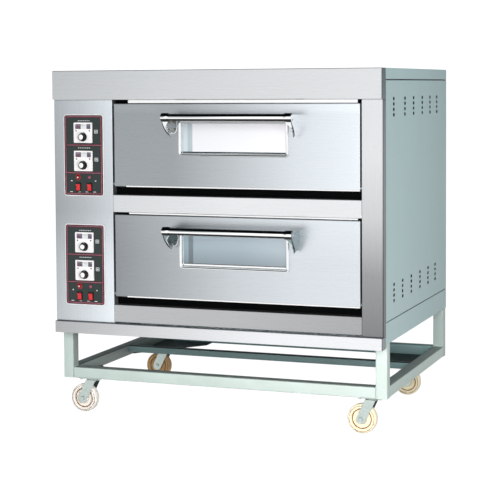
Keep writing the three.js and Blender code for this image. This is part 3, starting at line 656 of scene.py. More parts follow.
def shaded_tube_paint(name, code, *runs):
    """Makes the paint of one tube, with painted shade on chosen faces, and gives its name."""
    look = f"paint_{name}"
    finish(look, code, 0.45, 0, 0.04, 14, 0.06, 0.25, 900, runs)
    return look


def face_painted_shade(axis, lo, hi, level):
    """Painted shade: a grey level for the face at the high end of an axis."""
    index = "xyz".index(axis)
    return light_and_shade_at(axis, (lo[index], hi[index]), (0, 1), (0.91, 1), (0.97, level))


def stand():
    for end, side in CORNERS:
        name = f"stand_post_{end}_{side}"
        lo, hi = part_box(name)
        # Painted shade on the front-left post's inner face.
        inner = face_painted_shade("x", lo, hi, 0.5 if (end, side) == ("front", "left") else 1)
        code = TUBE_COLOUR if end == "front" else REAR_POST_SHADED_COLOUR
        square_tube(f"post_{end}_{side}", lo, hi, "z", shaded_tube_paint(name, code, inner), name)
    for side, inner, top in (("left", 0.45, 0.2), ("right", 1, 0.4)):
        name = f"stand_rail_{side}"
        lo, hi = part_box(name)
        # Painted shade darkens each side rail's inner and top faces.
        runs = face_painted_shade("x", lo, hi, inner), face_painted_shade("z", lo, hi, top)
        square_tube(f"rail_{side}", lo, hi, "y", shaded_tube_paint(name, TUBE_COLOUR, *runs), name)
    name = "stand_cross_rail"
    lo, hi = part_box(name)
    # Painted shade: the cross rail's top face is nearly black and the rest is darker.
    top = light_and_shade_at("z", (lo.z, hi.z), (0, 0.7), (0.86, 0.7), (0.93, 0.04))
    square_tube("rail_cross", lo, hi, "x", shaded_tube_paint(name, CROSS_RAIL_SHADED_COLOUR, top), name)
    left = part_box("stand_post_front_left")[1].x + JOINT_GAP
    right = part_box("stand_post_front_right")[0].x - JOINT_GAP
    for end in ENDS:
        name = f"stand_rail_{end}"
        lo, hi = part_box(name)
        y = (lo.y, lo.y + TUBE) if end == "front" else (hi.y - TUBE, hi.y)
        low, high = Vector((left, y[0], hi.z - TUBE)), Vector((right, y[1], hi.z))
        # Painted shade: the rear rail gets the darker paint.
        paint = "shade_paint"
        if end == "front":
            # Painted shade darkens the front rail's top face.
            paint = shaded_tube_paint(name, TUBE_COLOUR, face_painted_shade("z", low, high, 0.3))
        square_tube(f"rail_{end}", low, high, "x", paint, name)
        corner_plates(end, low, high)
    welds()


def corner_plates(end, low, high):
    """The flat plates in the stand's corners, at the bottom of the rails."""
    along_rail, along_side, square = CORNER_PLATES[end]
    y, towards = (high.y, 1) if end == "front" else (low.y, -1)
    for sign, edge in ((-1, -low.x), (1, high.x)):
        outline = [(sign * edge, y), (sign * (edge - along_rail), y),
                   (sign * (edge - along_rail), y + towards * square),
                   (sign * edge, y + towards * along_side)]
        prism(outline, "z", low.z, low.z + PLATE_THICK)
    # Painted shadow: the plates are near black, as they lie in shade under the oven.
    piece(f"corner_plates_{end}", OVEN, "dark_paint", "painted_tube", bevel=0.8, steps=2)


def welds():
    """Fillet welds where the rails meet the posts."""
    for end, side in CORNERS:
        lo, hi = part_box(f"stand_post_{end}_{side}")
        inner = hi.x if side == "left" else lo.x
        back = hi.y if end == "front" else lo.y
        top = lo.z + TUBE
        weld((inner, lo.y + TUBE_R, top), (inner, hi.y - TUBE_R, top), WELD_R)
        weld((lo.x + TUBE_R, back, top), (hi.x - TUBE_R, back, top), WELD_R)
    piece("rail_welds", OVEN, "tube_paint", "painted_tube", angle=60)


# ---- Casters ----
ZINC = ("zinc", "zinc_steel")
TRAIL = 33 * MM
FORK_SHEET = 3 * MM
FOOT = 17 * MM
BOLT_END = 6 * MM
BOLT_R = 6 * MM
BOLT_HEAD = 13
# Rings of brown painted shade in the grooves: inner and outer radius, and how far out they reach,
# in millimetres.
GROOVE_SHADE_RINGS = ((16.4, 18.2, 11.2), (31.8, 35.8, 12), (43.1, 44.7, 15.5))
# Painted light and shade: the rear-left wheel's nylon is darker for the shade it stands in, and the
# front-left's is paler for the light on it.
NYLON_LIGHT_AND_SHADE = {"rear_left": "dusty_nylon", "front_left": "pale_nylon"}
MOUNT = (92 * MM, 68 * MM, 8 * MM)
MOUNT_THICK = 3.6 * MM
MOUNT_BOLTS = ((-36, -25), (-36, 25), (36, -25), (36, 25))


def caster(which):
    wheel_lo, wheel_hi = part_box(f"caster_wheel_{which}")
    fork_lo, fork_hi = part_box(f"caster_fork_{which}")
    axle = (wheel_lo + wheel_hi) / 2
    swivel = Vector((axle.x + TRAIL, axle.y, 0))
    caster_wheel(which, axle, (wheel_hi.z - wheel_lo.z) / 2, (wheel_hi.y - wheel_lo.y) / 2)
    caster_fork(which, axle, swivel, fork_hi.z, fork_lo.y, fork_hi.y)
    caster_mount(which, swivel, fork_hi.z)


def caster_wheel(which, axle, radius, half_hub):
    """A moulded nylon wheel: rounded tread, turned grooves on each face with brown rings of painted
    shade in them, and a long hub.
    """
    hub = half_hub / MM
    near = mm([
        (6.3, hub), (9, hub), (13.5, hub - 0.4), (15, hub - 1.6), (17.5, 10.6), (20, 9.6),
        (25, 9.4), (26, 10.2), (28.5, 10.2), (29.5, 9.4), (32, 9.6), (34.5, 11.2), (36.2, 15),
        (37.6, 16), (42.5, 16), (43.2, 15.3), (44.6, 15.3), (45.3, 15.8), (47, 15), (49.4, 12.6),
        (50.6, 9.5), (radius / MM, 5),
    ])
    lathe(near + [(r, -t) for r, t in reversed(near)], axle, "y", 72, closed=True)
    for inner, outer, out in GROOVE_SHADE_RINGS:
        for way in (1, -1):
            ring = mm([(inner, way * 8), (outer, way * 8), (outer, way * out), (inner, way * out)])
            lathe(ring, axle, "y", 72, 1, closed=True)
    piece(f"wheel_{which}", f"wheel_{which}", (NYLON_LIGHT_AND_SHADE.get(which, "nylon"), "groove_brown"),
          "cream_nylon", [f"caster_wheel_{which}"], angle=32)


def leaning_leg(axle, swivel, crown):
    """The side outline of a fork plate: even in width, round about the axle."""
    lean = atan2(swivel.x - axle.x, crown - axle.z)
    half = FOOT / cos(lean)
    points = []
    for k in range(17):
        angle = pi * (1 + k / 16) - lean
        points.append((axle.x + FOOT * cos(angle), axle.z + FOOT * sin(angle)))
    return [*points, (swivel.x + half, crown), (swivel.x - half, crown)]


def caster_fork(which, axle, swivel, crown, front, back):
    body = f"fork_{which}"
    near, far = front + BOLT_END, back - BOLT_END
    outline = leaning_leg(axle, swivel, crown)
    prism(outline, "y", near, near + FORK_SHEET)
    # Painted shade: the far plate gets the dark zinc.
    prism(outline, "y", far - FORK_SHEET, far, 1)
    block((swivel.x - FOOT, near + FORK_SHEET * 0.5, crown - FORK_SHEET),
          (swivel.x + FOOT, far - FORK_SHEET * 0.5, crown))
    piece(body, body, ("zinc", "zinc_shade"), "zinc_steel", [f"caster_fork_{which}"],
          bevel=0.9)
    lathe([(0, -near), (BOLT_R, -near), (BOLT_R, -far), (0, -far)], (axle.x, 0, axle.z), "y", 24)
    near_face, far_face = (axle.x, near, axle.z), (axle.x, far, axle.z)
    lathe(mm([(0, 0), (9, 0), (9, 1.2), (8.4, 1.6), (0, 1.6)]), near_face, "y", 28)
    hexagon(near_face, "y", BOLT_HEAD, 1.4, 5.6)
    lathe(mm([(0, 0), (9, 0), (9, -1.4), (0, -1.4)]), far_face, "y", 28)
    hexagon(far_face, "y", BOLT_HEAD, -5.4, -1.2)
    piece(f"axle_bolt_{which}", body, *ZINC)
    at = (swivel.x, swivel.y, crown)
    lathe(mm([(0, -9), (9, -9), (10, -7.8), (10, -3), (0, -3)]), at, "z", 6)
    lathe(mm([(0, -3.2), (20, -3.2), (23.4, -1.4), (24.2, 0), (0, 0)]), at, "z", 40)
    piece(f"swivel_cup_{which}", body, *ZINC)


def caster_mount(which, swivel, crown):
    """The plate bolted under the rail, with the upper half of the race."""
    rail = "stand_rail_front" if which.startswith("front") else "stand_rail_rear"
    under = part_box(rail)[1].z - TUBE - JOINT_GAP
    low = under - MOUNT_THICK
    prism(rounded(*MOUNT, (swivel.x, swivel.y)), "z", low, under)
    piece(f"mount_plate_{which}", OVEN, *ZINC, bevel=0.7, steps=2)
    race = crown + 0.4 * MM
    seat = low + 0.1 * MM
    lathe([(0, race), (22.6 * MM, race), (24 * MM, race + 1.5 * MM), (24 * MM, race + 3.4 * MM),
               (22 * MM, seat), (0, seat)], (swivel.x, swivel.y, 0), "z", 48)
    for dx, dy in MOUNT_BOLTS:
        hexagon((swivel.x + dx * MM, swivel.y + dy * MM, low), "z", 10, -4, 0.2)
    piece(f"mount_race_{which}", OVEN, *ZINC)


# ---- Body shell ----
SEAM = 4 * MM
TUCK = 1.5 * MM
VENT_ROWS = 4
VENT_PITCH = 18.2 * MM
VENT_SLOT = (25 * MM, 11.5 * MM, 5.6 * MM)
VENT_GROUPS = (
    (1137 * MM, (104, 253, 375, 501, 619, 726)),
    (507 * MM, (106, 222, 342, 468, 590, 703)),
)
SCREW_INSET = 8 * MM
BACK_SCREW = (3.4, -2)
GLAND_HOLE = 13.4 * MM


def body_shell():
    for name, part, opens in (("base_skirt", "base_pan", "z+"), ("top_panel", "top_cover", "z-")):
        tray(name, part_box(part), opens, OVEN, "panel_paint", "painted_sheet", [part])
    for side, opens in (("left", "x+"), ("right", "x-")):
        name = f"side_panel_{side}"
        lo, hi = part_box(name)
        places = [(lo.y - JOINT_GAP + back * MM, top - row * VENT_PITCH)
                  for top, columns in VENT_GROUPS for back in columns for row in range(VENT_ROWS)]
        holes = [rounded(*VENT_SLOT, place, 4) for place in places]
        low, high = lo + Vector((0, 0, SEAM / 2)), hi - Vector((0, 0, SEAM))
        tray(f"side_sheet_{side}", (low, high), opens, OVEN, "panel_paint", "painted_sheet",
             [name], holes)
        # Painted shadow: dark strips behind the seams stand in for the shade in them.
        for bottom, top in ((high.z - TUCK, hi.z), (lo.z, low.z + TUCK)):
            block((lo.x + TUCK, lo.y + TUCK, bottom),
                  (hi.x - TUCK, hi.y - TUCK, top))
        piece(f"side_seam_{side}", OVEN, "dark_paint", "painted_sheet", bevel=0.4,
              steps=2)
    back()


def back():
    lo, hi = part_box("back_panel")
    gland = sum(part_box("cable_gland"), Vector()) / 2
    rim = [(lo.x, lo.z), (hi.x, lo.z), (hi.x, hi.z), (lo.x, hi.z)]
    fill([rim, circle(GLAND_HOLE, (gland.x, gland.z), 32)], "y", hi.y)
    bm.normal_update()
    bmesh.ops.reverse_faces(bm, faces=[f for f in bm.faces if f.normal.y < 0])
    piece("back_sheet", OVEN, "panel_paint", "painted_sheet", ["back_panel"], sheet=SHEET)
    edges = (lo.x + SCREW_INSET, hi.x - SCREW_INSET)
    for x in (edges[0], -0.2, 0.2, edges[1]):
        for z in (lo.z + SCREW_INSET, hi.z - SCREW_INSET):
            screw((x, hi.y, z), *BACK_SCREW)
    for z in (lo.z + 0.27, lo.z + 0.54):
        for x in edges:
            screw((x, hi.y, z), *BACK_SCREW)
    piece("back_screws", OVEN, *ZINC)
    at = (gland.x, hi.y, gland.z)
    lathe(mm([(7, 18), (13, 18), (13, -0.3), (7, -0.3)]), at, "y", 40, closed=True)
    hexagon(at, "y", 34, -0.3, -8)
    dome = mm([(7, -8), (14, -8), (14, -12), (12.5, -17), (10, -21), (8.6, -22), (7, -22)])
    lathe(dome, at, "y", 40, closed=True)
    piece("gland", OVEN, "gland_plastic", "gland_nylon", ["cable_gland"], angle=35)


# ---- Stainless front ----
STRIP_SHADOW = 4 * MM
DIAL_HOLE = (66 * MM, 66 * MM, 3 * MM)
SWITCH_HOLE = (18 * MM, 30 * MM, 2 * MM)


def mid_xz(name):
    lo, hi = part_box(name)
    return (lo.x + hi.x) / 2, (lo.z + hi.z) / 2


def column_holes():
    holes = []
    for deck in DECKS:
        x = mid_xz(f"control_plate_{deck}")[0]
        for which in ("top", "bottom"):
            z = mid_xz(f"thermostat_{deck}_{which}")[1]
            holes.append(rounded(*DIAL_HOLE, (x, z), 3))
        for side in SIDES:
            holes.append(rounded(*SWITCH_HOLE, mid_xz(f"rocker_switch_{deck}_{side}"), 3))
    return holes


def front():
    for name, part, look, facts in (
        ("header", "header_canopy", "header_steel", {"radius": 2.5 * MM}),
        ("fascia_bottom", "bottom_fascia", "fascia_steel", {}),
        ("fascia_middle", "middle_fascia", "middle_steel", {}),
        ("fascia_lower", "lower_fascia", "lower_steel", {}),
        ("column_right", "right_column", "right_steel", {}),
        ("column_controls", "control_column", "left_steel", {"holes": column_holes()}),
    ):
        lo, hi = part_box(part)
        if part == "lower_fascia":
            lo = lo + Vector((0, 0, STRIP_SHADOW))
        tray(name, (lo, hi), "y+", OVEN, look, "brushed_stainless", [part], **facts)


# ---- Doors ----
GAP_LEFT, GAP_RIGHT = 7 * MM, 5 * MM
RIM_PROUD = 7 * MM
RIM_BEAD = ((0, 3.4), (-0.8, 1.2), (-2.4, 0), (-4.6, 0.2), (-6.2, 1.6), (-7.4, 1.9), (-9, 2.2),
            (-10, 4))
SLEEVE = (-10, -8.5)
LINER_DEPTH = 8 * MM
LINER_INSET = Vector((2.2 * MM, 0, 2.2 * MM))
PIN_UP = 10 * MM
WINDOW_CUT = (-6, 8)


def door_span():
    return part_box("control_column")[1].x + GAP_LEFT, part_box("right_column")[0].x - GAP_RIGHT


def opening(deck, grow, corner):
    """The window frame's outline, grown and rounded by amounts in millimetres."""
    name, more = f"window_frame_{deck}", 2 * grow * MM
    lo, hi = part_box(name)
    return rounded(hi.x - lo.x + more, hi.z - lo.z + more, corner * MM, mid_xz(name), 8)


def door(deck):
    name, body = f"door_shell_{deck}", f"door_{deck}"
    lo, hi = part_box(name)
    left, right = door_span()
    hole = [opening(deck, *WINDOW_CUT)]
    high = Vector((right, hi.y, hi.z))
    tray(f"door_skin_{deck}", (Vector((left, lo.y, lo.z)), high), "y+", body,
         f"door_steel_{deck}", "brushed_stainless", [name], hole, 2.5 * MM)
    liner_low = Vector((left, hi.y - LINER_DEPTH, lo.z)) + LINER_INSET
    tray(f"door_liner_{deck}", (liner_low, high - LINER_INSET), "y-", body, "inner_steel",
         "brushed_stainless", (), hole, 1.5 * MM)
    for x in (left + 20 * MM, left + 0.3, right - 0.3, right - 20 * MM):
        for z in (lo.z + 16 * MM, hi.z - 16 * MM):
            screw((x, hi.y, z), 3, -1.6)
    piece(f"door_liner_screws_{deck}", body, *ZINC)
    for x, a, b in ((lo.x, 0, left - lo.x + 2 * MM), (hi.x, right - hi.x - 2 * MM, 0)):
        pin = [(0, a), (4.4 * MM, a), (4.9 * MM, a + 0.6 * MM), (4.9 * MM, b - 0.6 * MM),
               (4.4 * MM, b), (0, b)]
        lathe(pin, (x, (lo.y + hi.y) / 2, lo.z + PIN_UP), "x", 24)
    piece(f"door_pins_{deck}", body, *ZINC)
    block((left + 46 * MM, lo.y - 0.7 * MM, lo.z + 0.2 * MM),
          (right - 1 * MM, lo.y + 1 * MM, lo.z + 4.8 * MM))
    piece(f"door_hem_{deck}", body, "lip_steel", "brushed_stainless", bevel=0.6)
    window(deck, body)
    handle(deck, body)
    lip(deck)


def window(deck, body):
    """The chromed rim, rolled over the door's face, its sleeve, and the pane in its bed."""
    lo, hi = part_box(f"window_frame_{deck}")
    face = lo.y + RIM_PROUD
    rolled = [(0, face - 0.3 * MM), *((grow, lo.y + back * MM) for grow, back in RIM_BEAD),
              (SLEEVE[0], hi.y), (SLEEVE[1], hi.y), (SLEEVE[1], face)]
    shell([[(a, y, b) for a, b in opening(deck, grow, 13 + grow)] for grow, y in rolled],
          closed=True)
    piece(f"window_rim_{deck}", body, f"rim_chrome_{deck}", "chrome", [f"window_frame_{deck}"],
          angle=50)
    lo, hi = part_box(f"window_glass_{deck}")
    prism(opening(deck, -10.3, 4), "y", lo.y, hi.y)
    piece(f"window_pane_{deck}", body, f"glass_{deck}", "window_glass",
          [f"window_glass_{deck}"], bevel=0.8, steps=2)
    bed = lo.y + 0.1 * MM
    outer, inner = opening(deck, -10.1, 4), opening(deck, -12.6, 3)
    collar(outer, inner, "y", lo.y - 1.6 * MM, bed)
    piece(f"window_seal_{deck}", body, "seal_grey", "window_glass", bevel=0.4, steps=2)
    outline = opening(deck, -12.8, 3)
    left, sill = (min(point[i] for point in outline) for i in (0, 1))
    right = max(a for a, b in outline)
    # Painted shadow: near-black strips along the sill stand in for the shade at the bottom of the
    # window; the lower window also has a bright steel strip.
    strips = {"upper": ((1.8, -0.4, 3.4),), "lower": ((1.8, 4, 6), (2.2, -1.6, 4.4))}[deck]
    for mat, (proud, low, high) in enumerate(strips):
        block((left, lo.y - proud * MM, sill + low * MM), (right, bed, sill + high * MM), mat)
    piece(f"window_sill_shadow_{deck}", body, ("gasket_black", "lip_steel"), "window_glass",
          bevel=0.4, steps=2)


def handle(deck, body):
    """A chromed bar whose ends sit in two cast claws."""
    name = f"door_handle_{deck}"
    lo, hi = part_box(name)
    y, z = lo.y + SOCKET_R, hi.z - SOCKET_R
    middle = (lo.x + hi.x) / 2
    half = (hi.x - lo.x) / 2 - 3 * MM
    end = [(0, half), (BAR_R - 2 * MM, half), (BAR_R - 0.6 * MM, half - 0.6 * MM),
           (BAR_R, half - 2 * MM)]
    lathe(end + [(a, -b) for a, b in reversed(end)], (middle, y, z), "x", 64)
    piece(f"handle_bar_{deck}", body, f"bar_chrome_{deck}", "chrome", [name])
    claw(deck, "left", lo.x, y, z, hi.y, -1)
    claw(deck, "right", hi.x, y, z, hi.y, 1)


CLAW_WIDTH = 26 * MM
CLAW_TOP = 8 * MM
CLAW_DROP = 66 * MM
CLAW_WALL = 3 * MM
CLAW_TIP = 25 * MM
CLAW_HEEL = 10 * MM
CLAW_STEPS = 20
SHIELD_FROM = 28 * MM
SHIELD_LEAST = 0.12
HOLLOW_FROM, HOLLOW_SPAN, HOLLOW_CUT = 0.12, 0.4, 0.68
CLAW_FOOT = ((0, 4), (0, -20), (0, -34), (1, -42), (4, -50), (9, -55.5), (14, -57), (19, -54.5),
             (23, -48))
CLAW_SCREWS = ((15, -17), (9, -43))
CLAW_SOCKET = ((0, 0), (12.9, 0), (14.6, 0.8), (15.3, 2.6), (15.3, 24), (14, 25.6), (0, 25.6))


def claw_sweep(y, face, inset):
    """The claw's front edge from the bar to the tip, as (y, height) points."""
    ends = [(y - BAR_R + inset, 4 * MM), (y + 8 * MM + inset, -38 * MM + inset),
            (face - CLAW_TIP - inset, -CLAW_DROP + 2 * inset)]
    points = []
    for k in range(CLAW_STEPS + 1):
        t = k / CLAW_STEPS
        weights = ((1 - t) ** 2, 2 * t * (1 - t), t * t)
        points.append(tuple(sum(w * e[i] for w, e in zip(weights, ends)) for i in (0, 1)))
    return points


def shield(middle, top):
    """Draws a claw in towards its middle, to a rounded tip."""
    for v in bm.verts:
        down = min(1, max(0, (top - v.co.z - SHIELD_FROM) / (CLAW_DROP - SHIELD_FROM)))
        v.co.x = middle + (v.co.x - middle) * max(SHIELD_LEAST, sqrt(1 - down * down))


def claw(deck, end, outer, y, z, face, sign):
    """A cast shell, closed outwards, hollow towards the window, with a rolled inner rim."""
    # The lower claws' chrome is a darker copy of the upper claws': painted shade.
    which, body, painted_light_cast = f"{deck}_{end}", f"door_{deck}", f"cast_chrome_{deck}"
    inner = outer - sign * CLAW_WIDTH
    middle = (outer + inner) / 2
    front, behind = claw_sweep(y, face, 0), claw_sweep(y, face, CLAW_WALL)
    side = [(face, CLAW_TOP), (y, CLAW_TOP + 2 * MM), *front, (face, -CLAW_DROP + CLAW_HEEL),
            *((face, up * MM) for up in (-50, -44, -38, -30))]
    prism([(a, z + b) for a, b in side], "x", outer - sign * CLAW_WALL, outer)
    shield(middle, z)
    block((min(outer, inner), y, z + CLAW_TOP - 2 * MM), (max(outer, inner), face, z + CLAW_TOP))
    piece(f"claw_side_{which}", body, painted_light_cast, "chrome", bevel=1)

    def inner_edge(k):
        t = min(1, max(0, (k / CLAW_STEPS - HOLLOW_FROM) / HOLLOW_SPAN))
        return outer - sign * CLAW_WIDTH * (1 - HOLLOW_CUT * t * t * (3 - 2 * t))

    rows = []
    for k, ((a, b), (c, d)) in enumerate(zip(front, behind)):
        edge = inner_edge(k)
        rows.append([(outer, a, z + b), (edge, a, z + b), (edge, c, z + d), (outer, c, z + d)])
    shell(rows, caps=True)
    shield(middle, z)
    piece(f"claw_front_{which}", body, painted_light_cast, "chrome", bevel=0.8)

    # Painted shade: the rolled front edge is near-black chrome, for the dark underside of the edge.
    edge = [Vector((outer - sign * 1.8 * MM, a + 1 * MM, z + b)) for a, b in front[2:]]
    tube(edge, lambda t: (1.4 + 1.4 * t) * MM, 12)
    shield(middle, z)
    piece(f"claw_edge_{which}", body, "edge_chrome", "chrome", angle=40)

    rim = [Vector((inner_edge(k), a + 1.2 * MM, z + b)) for k, (a, b) in enumerate(front)]
    tube(rim, 1.6 * MM, 12)
    shield(middle, z)
    foot = [(inner + sign * a, z + b) for a, b in mm(CLAW_FOOT)]
    tube([Vector((a, face - 2.6 * MM, b)) for a, b in foot], 2 * MM, 12)
    piece(f"claw_rims_{which}", body, "chrome", "chrome", angle=40)

    lathe([(r, sign * t) for r, t in mm(CLAW_SOCKET)], (inner, y, z), "x", 48)
    piece(f"claw_socket_{which}", body, f"bar_chrome_{deck}", "chrome", angle=40)

    # Painted shade: the foot plate inside the hollow gets a darker chrome.
    plate = foot + [(outer - sign * 1 * MM, z + up * MM) for up in (-40, 6)]
    prism(plate, "y", face - 2.4 * MM, face)
    piece(f"claw_foot_{which}", body, "hollow_chrome", "chrome", bevel=0.5, steps=2)
    for dx, up in mm(CLAW_SCREWS):
        screw((inner + sign * dx, face - 2.3 * MM, z + up), 4.4, 3)
    piece(f"claw_screws_{which}", body, "screw_gold", "zinc_steel")


def lip(deck):
    """The bright folded strip that stops the door's upper edge."""
    lo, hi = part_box(f"door_shell_{deck}")
    left, right = door_span()
    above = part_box("header_canopy" if deck == "upper" else "middle_fascia")[0].z
    block((left + 52 * MM, lo.y + 8 * MM, hi.z + 1.6 * MM),
          (right - 10 * MM, hi.y + 4 * MM, above - 0.6 * MM))
    piece(f"door_stop_{deck}", OVEN, "lip_steel", "brushed_stainless", bevel=0.9)


# ---- Controls ----
PLATE_CORNER = 12 * MM
PLATE_CORNER_LEAST = 1.5 * MM
PLATE_RIM = 3.5 * MM
PLATE_DEPTH = 3 * MM
BORDERS = (8.2 * MM, 9.2 * MM, 12.6 * MM)
DIVIDERS = (36 * MM, -62.5 * MM)
BAND_HALF = 4 * MM
LINE_HALF = 0.5 * MM
BAND_PROUD = 0.25 * MM
BAND_SUNK = 0.2 * MM
SWITCH_DROP = 113 * MM


def control_plate(deck):
    name = f"control_plate_{deck}"
    lo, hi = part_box(name)
    x, z = mid_xz(name)
    wide, tall = hi.x - lo.x, hi.z - lo.z
    face = hi.y - PLATE_DEPTH
    prism(rounded(wide, tall, PLATE_CORNER, (x, z), 8), "y", face + 0.6 * MM, hi.y)
    piece(f"plate_{deck}", OVEN, "enamel_rim", "control_enamel", [name], bevel=0.6)

    def outline(inset):
        corner = max(PLATE_CORNER_LEAST, PLATE_CORNER - inset)
        return rounded(wide - 2 * inset, tall - 2 * inset, corner, (x, z), 8)

    prism(outline(PLATE_RIM), "y", face + 0.1 * MM, face + 1.2 * MM)
    piece(f"plate_face_{deck}", OVEN, "enamel", "control_enamel")
    line, border, inside = BORDERS
    for outer, inner, proud, mat in ((PLATE_RIM, line, 1, 0), (border, inside, 1, 0),
                                     (line, border, 1.4, 1)):
        collar(outline(outer), outline(inner), "y", face - BAND_PROUD * proud,
               face + BAND_SUNK, mat)
    reach = wide / 2 - 9 * MM
    for up in DIVIDERS:
        for half, proud, sunk, mat in ((BAND_HALF, 1, BAND_SUNK, 0), (LINE_HALF, 1.6, 0.1 * MM, 1)):
            block((x - reach, face - BAND_PROUD * proud, z + up - half),
                  (x + reach, face + sunk, z + up + half), mat)
    piece(f"plate_borders_{deck}", OVEN, ("maroon", "pink_line"), "control_enamel")
    plate_marks(deck, x, z, face)
    return x, z, face


def plate_marks(deck, x, z, face):
    """Plain marks: a square beside each thermostat and dashes in place of wording."""

    def mark(dx, dz, w, h):
        slab((x, face, z), (dx - w / 2, -0.1, dz - h / 2), (dx + w / 2, 0.3, dz + h / 2))

    for up in (84, -15):
        for dz in (-5.4, 5.4):
            mark(50, up + dz, 13, 1.8)
        for dx in (-5.6, 5.6):
            mark(50 + dx, up, 1.8, 9)
        mark(50, up, 5, 4.4)
    for up in (122.5, 26):
        for k in range(7):
            mark(-19 + k * 7, up, 4.2, 2.6)
    for dx in (-48, 46):
        mark(dx, -91, 5, 4)
    for dx in (-50, -18, 12, 42):
        mark(dx, -130, 10, 2.4)
    piece(f"plate_marks_{deck}", OVEN, "print_white", "control_enamel")


BEZEL = 4 * MM
CASE_HALF = 32 * MM
SLOT_UP = 22 * MM
SLOT = (61 * MM, 17.5 * MM, 1.5 * MM)
DIAL_BANDS = ((-30.6, -9, 0), (-9, 14, 1), (14, 30.6, 0))
DIAL_HALF = 8.9
TICK_PITCH = 4.5
POINTER = ((-21, -0.4, -7), (-18.5, -0.4, -1), (-16.6, -0.4, 4.5))


def thermostat(deck, which):
    name = f"thermostat_{deck}_{which}"
    lo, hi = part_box(name)
    x, z = mid_xz(name)
    face = lo.y
    window_z = z + SLOT_UP
    rim = rounded(hi.x - lo.x, hi.z - lo.z, 2.5 * MM, (x, z), 5)
    fill([rim, rounded(*SLOT, (x, window_z), 4)], "y", face)
    grown = bmesh.ops.extrude_face_region(bm, geom=list(bm.faces))
    for v in grown["geom"]:
        if isinstance(v, bmesh.types.BMVert):
            v.co.y += BEZEL
    piece(f"thermostat_face_{deck}_{which}", OVEN, "white_plastic", "white_plastic", [name],
          bevel=0.5, steps=2)
    block((x - CASE_HALF, face + BEZEL - 0.5 * MM, z - CASE_HALF),
          (x + CASE_HALF, hi.y, z + CASE_HALF))
    piece(f"thermostat_case_{deck}_{which}", OVEN, "white_plastic", "white_plastic",
          bevel=1.5, steps=2)
    dial_window(f"{deck}_{which}", x, window_z, face)
    for dx in (-26 * MM, 26 * MM):
        screw((x + dx, face + 0.1 * MM, z + 7 * MM), 2.6, 1)
    piece(f"thermostat_screws_{deck}_{which}", OVEN, "sheath_metal", "zinc_steel")
    thermostat_knob(deck, which)


def dial_window(which, x, z, face):
    """The meter behind its slot: dark ends, a pale scale with ticks, and a pointer."""
    at = Vector((x, face + 2 * MM, z))
    for a, b, mat in DIAL_BANDS:
        slab(at, (a, 0, -DIAL_HALF), (b, 1.4, DIAL_HALF), mat)
    for k in range(13):
        long = 5.5 if k % 3 == 0 else 3.4
        a = -27 + k * TICK_PITCH
        slab(at, (a - 0.35, -0.15, 6.5 - long), (a + 0.35, 0.1, 6.5), 2 if 4 <= k <= 8 else 1)
    piece(f"dial_{which}", OVEN, ("dial_dark", "dial_pale", "black_plastic"), "white_plastic")
    tube([at + Vector(point) for point in mm(POINTER)], lambda t: (0.75 - 0.4 * t) * MM, 8)
    piece(f"dial_pointer_{which}", OVEN, "red_plastic", "red_plastic", angle=40)


KNOB_HIGH = 17 * MM
KNOB_FLANGE = ((0, 0), (15.6, 0), (16, 0.6), (15.8, 2.4), (14.6, 3.2), (12.6, 3.6))
KNOB_GRIP = ((12.8, 3.2), (12.3, 12), (11.9, 15.2), (10.9, 16.4), (9.2, 16.6), (9, 16.1), (0, 16.1))
KNOB_SHAFT = ((0, -12), (3, -12), (3, 0.2), (0, 0.2))
KNOB_CAP = ((0, 15.8), (8.9, 15.8), (8.9, 16.5), (8.3, 16.95), (0, 17))
FLUTE_DEPTH = 0.035
FLUTE_STEPS = 4


def flutes(k):
    return 1 - FLUTE_DEPTH * (0.5 + 0.5 * cos(2 * pi * k / FLUTE_STEPS))


def thermostat_knob(deck, which):
    name, body = f"thermostat_knob_{deck}_{which}", f"knob_{deck}_{which}"
    x, z = mid_xz(name)
    at = (x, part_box(name)[0].y + KNOB_HIGH, z)
    lathe(mm(KNOB_FLANGE), at, "y", 64)
    lathe(mm(KNOB_GRIP), at, "y", 96, wave=flutes)
    lathe(mm(KNOB_SHAFT), at, "y", 20)
    piece(f"{body}_grip", body, "black_plastic", "black_plastic", [name], angle=40)
    lathe(mm(KNOB_CAP), at, "y", 48)
    piece(f"{body}_cap", body, "white_plastic", "white_plastic", angle=40)
    slab(at, (-0.6, -3.7, 12.4), (0.6, -2.6, 15.4))
    piece(f"{body}_pointer", body, "print_white", "white_plastic", bevel=0.2, steps=1)


SWITCH_OUTER = (21 * MM, 33 * MM, 2.4 * MM)
SWITCH_INNER = (15.8 * MM, 26.4 * MM, 1.2 * MM)
ROCKER_HALF = 11.5 * MM
ROCKER_TILT = radians(8)
LAMP_OUT = 22 * MM
LAMPS = (("left", -1, 8.5 * MM, "lamp_red"), ("right", 1, 5.5 * MM, "lamp_pink"))
LAMP_DOME = 4.8 * MM
LAMP_RING = ((8.4, -0.1), (9.6, -0.1), (9.9, 0.8), (9.2, 1.5), (8.5, 1.2))
LAMP_HIGHLIGHT_SPOT = ((0, 4.6), (3, 4.6), (2.6, 5.8), (1.4, 6), (0, 6))


def switches(deck, plate):
    x, z, face = plate
    for side in SIDES:
        centre = (mid_xz(f"rocker_switch_{deck}_{side}")[0], z - SWITCH_DROP)
        collar(rounded(*SWITCH_OUTER, centre, 5), rounded(*SWITCH_INNER, centre, 5), "y",
               face - 2 * MM, face + 1 * MM)
    piece(f"switch_frames_{deck}", OVEN, "black_plastic", "black_plastic", bevel=0.6)
    for side in SIDES:
        rocker(deck, side, z - SWITCH_DROP, face + 1 * MM)


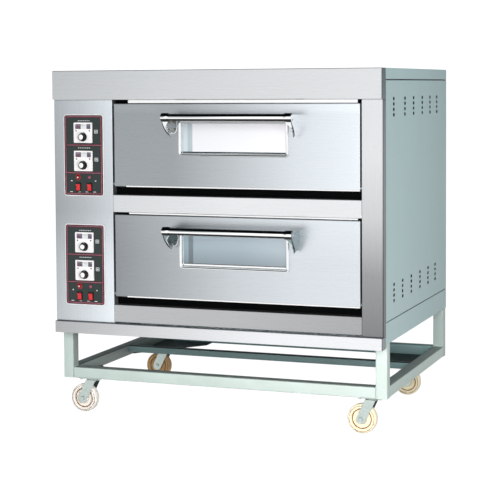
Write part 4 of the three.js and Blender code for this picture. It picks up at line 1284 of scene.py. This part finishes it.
def rocker(deck, side, z, pivot_y):
    """A dished rocker cap, tipped about its pivot."""
    name = f"rocker_switch_{deck}_{side}"
    lo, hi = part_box(name)
    dish = [(-(4.4 + 2.6 * abs(k / 8) ** 1.7) * MM, ROCKER_HALF * k / 8) for k in range(-8, 9)]
    c, s = cos(ROCKER_TILT), sin(ROCKER_TILT)
    turned = [(pivot_y + a * c - b * s, z + a * s + b * c)
              for a, b in [(0, -ROCKER_HALF), *dish, (0, ROCKER_HALF)]]
    prism(turned, "x", lo.x, hi.x)
    piece(f"rocker_{deck}_{side}_cap", f"rocker_{deck}_{side}", "red_plastic", "red_plastic",
          [name], bevel=0.7)


def lamps(deck, plate):
    name = f"indicator_lamps_{deck}"
    x, z, face = plate
    up = mid_xz(name)[1]
    for side, sign, r, look in LAMPS:
        r *= 0.98
        arcs = [pi / 2 * k / 8 for k in range(1, 8)]
        dome = [(r * cos(a), 1 * MM + LAMP_DOME * sin(a)) for a in arcs]
        lens = [(0, -10 * MM), (r, -10 * MM), (r, 1 * MM), *dome, (0, 1 * MM + LAMP_DOME)]
        lathe(lens, (x + sign * LAMP_OUT, face, up), "y", 40)
        piece(f"lamp_{deck}_{side}", OVEN, look, "lamp_red", [name] if side == "left" else (),
              angle=40)
    at = (x - LAMP_OUT, face, up)
    lathe(mm(LAMP_RING), at, "y", 40, closed=True)
    piece(f"lamp_ring_{deck}", OVEN, "red_plastic", "lamp_red", angle=40)
    # Painted highlight: a pale spot on the left lamp's dome.
    lathe(mm(LAMP_HIGHLIGHT_SPOT), at, "y", 24)
    piece(f"lamp_glow_{deck}", OVEN, "lamp_glow", "lamp_red", angle=40)


# ---- Assembly ----
camera()
studio()
for light in LIGHTS:
    area_light(*light)

bmesh.ops.create_grid(bm, x_segments=8, y_segments=8, size=FLOOR_REACH)
floor_mesh = bpy.data.meshes.new("floor")
bm.to_mesh(floor_mesh)
bm.clear()
floor = bpy.data.objects.new("floor", floor_mesh)
floor_mesh.materials.append(floor_finish())
show(floor)

stand()
for end, side in CORNERS:
    caster(f"{end}_{side}")
body_shell()
front()
for deck in DECKS:
    door(deck)
    plate = control_plate(deck)
    for which in ("top", "bottom"):
        thermostat(deck, which)
    switches(deck, plate)
    lamps(deck, plate)
    # Near-black chamber: burnt steel, and painted shade in the gaps round the doors.
    repaint("chamber_metal", f"chamber_liner_{deck}")
    repaint("deck_metal", f"deck_plate_{deck}")
    repaint("sheath_metal", f"heating_element_{deck}")
# Painted shadow: the insulation is near black, so the vents read as dark holes.
repaint("wool", "insulation")

settings = bpy.context.scene.view_settings
settings.view_transform = "Standard"
settings.look = "None"
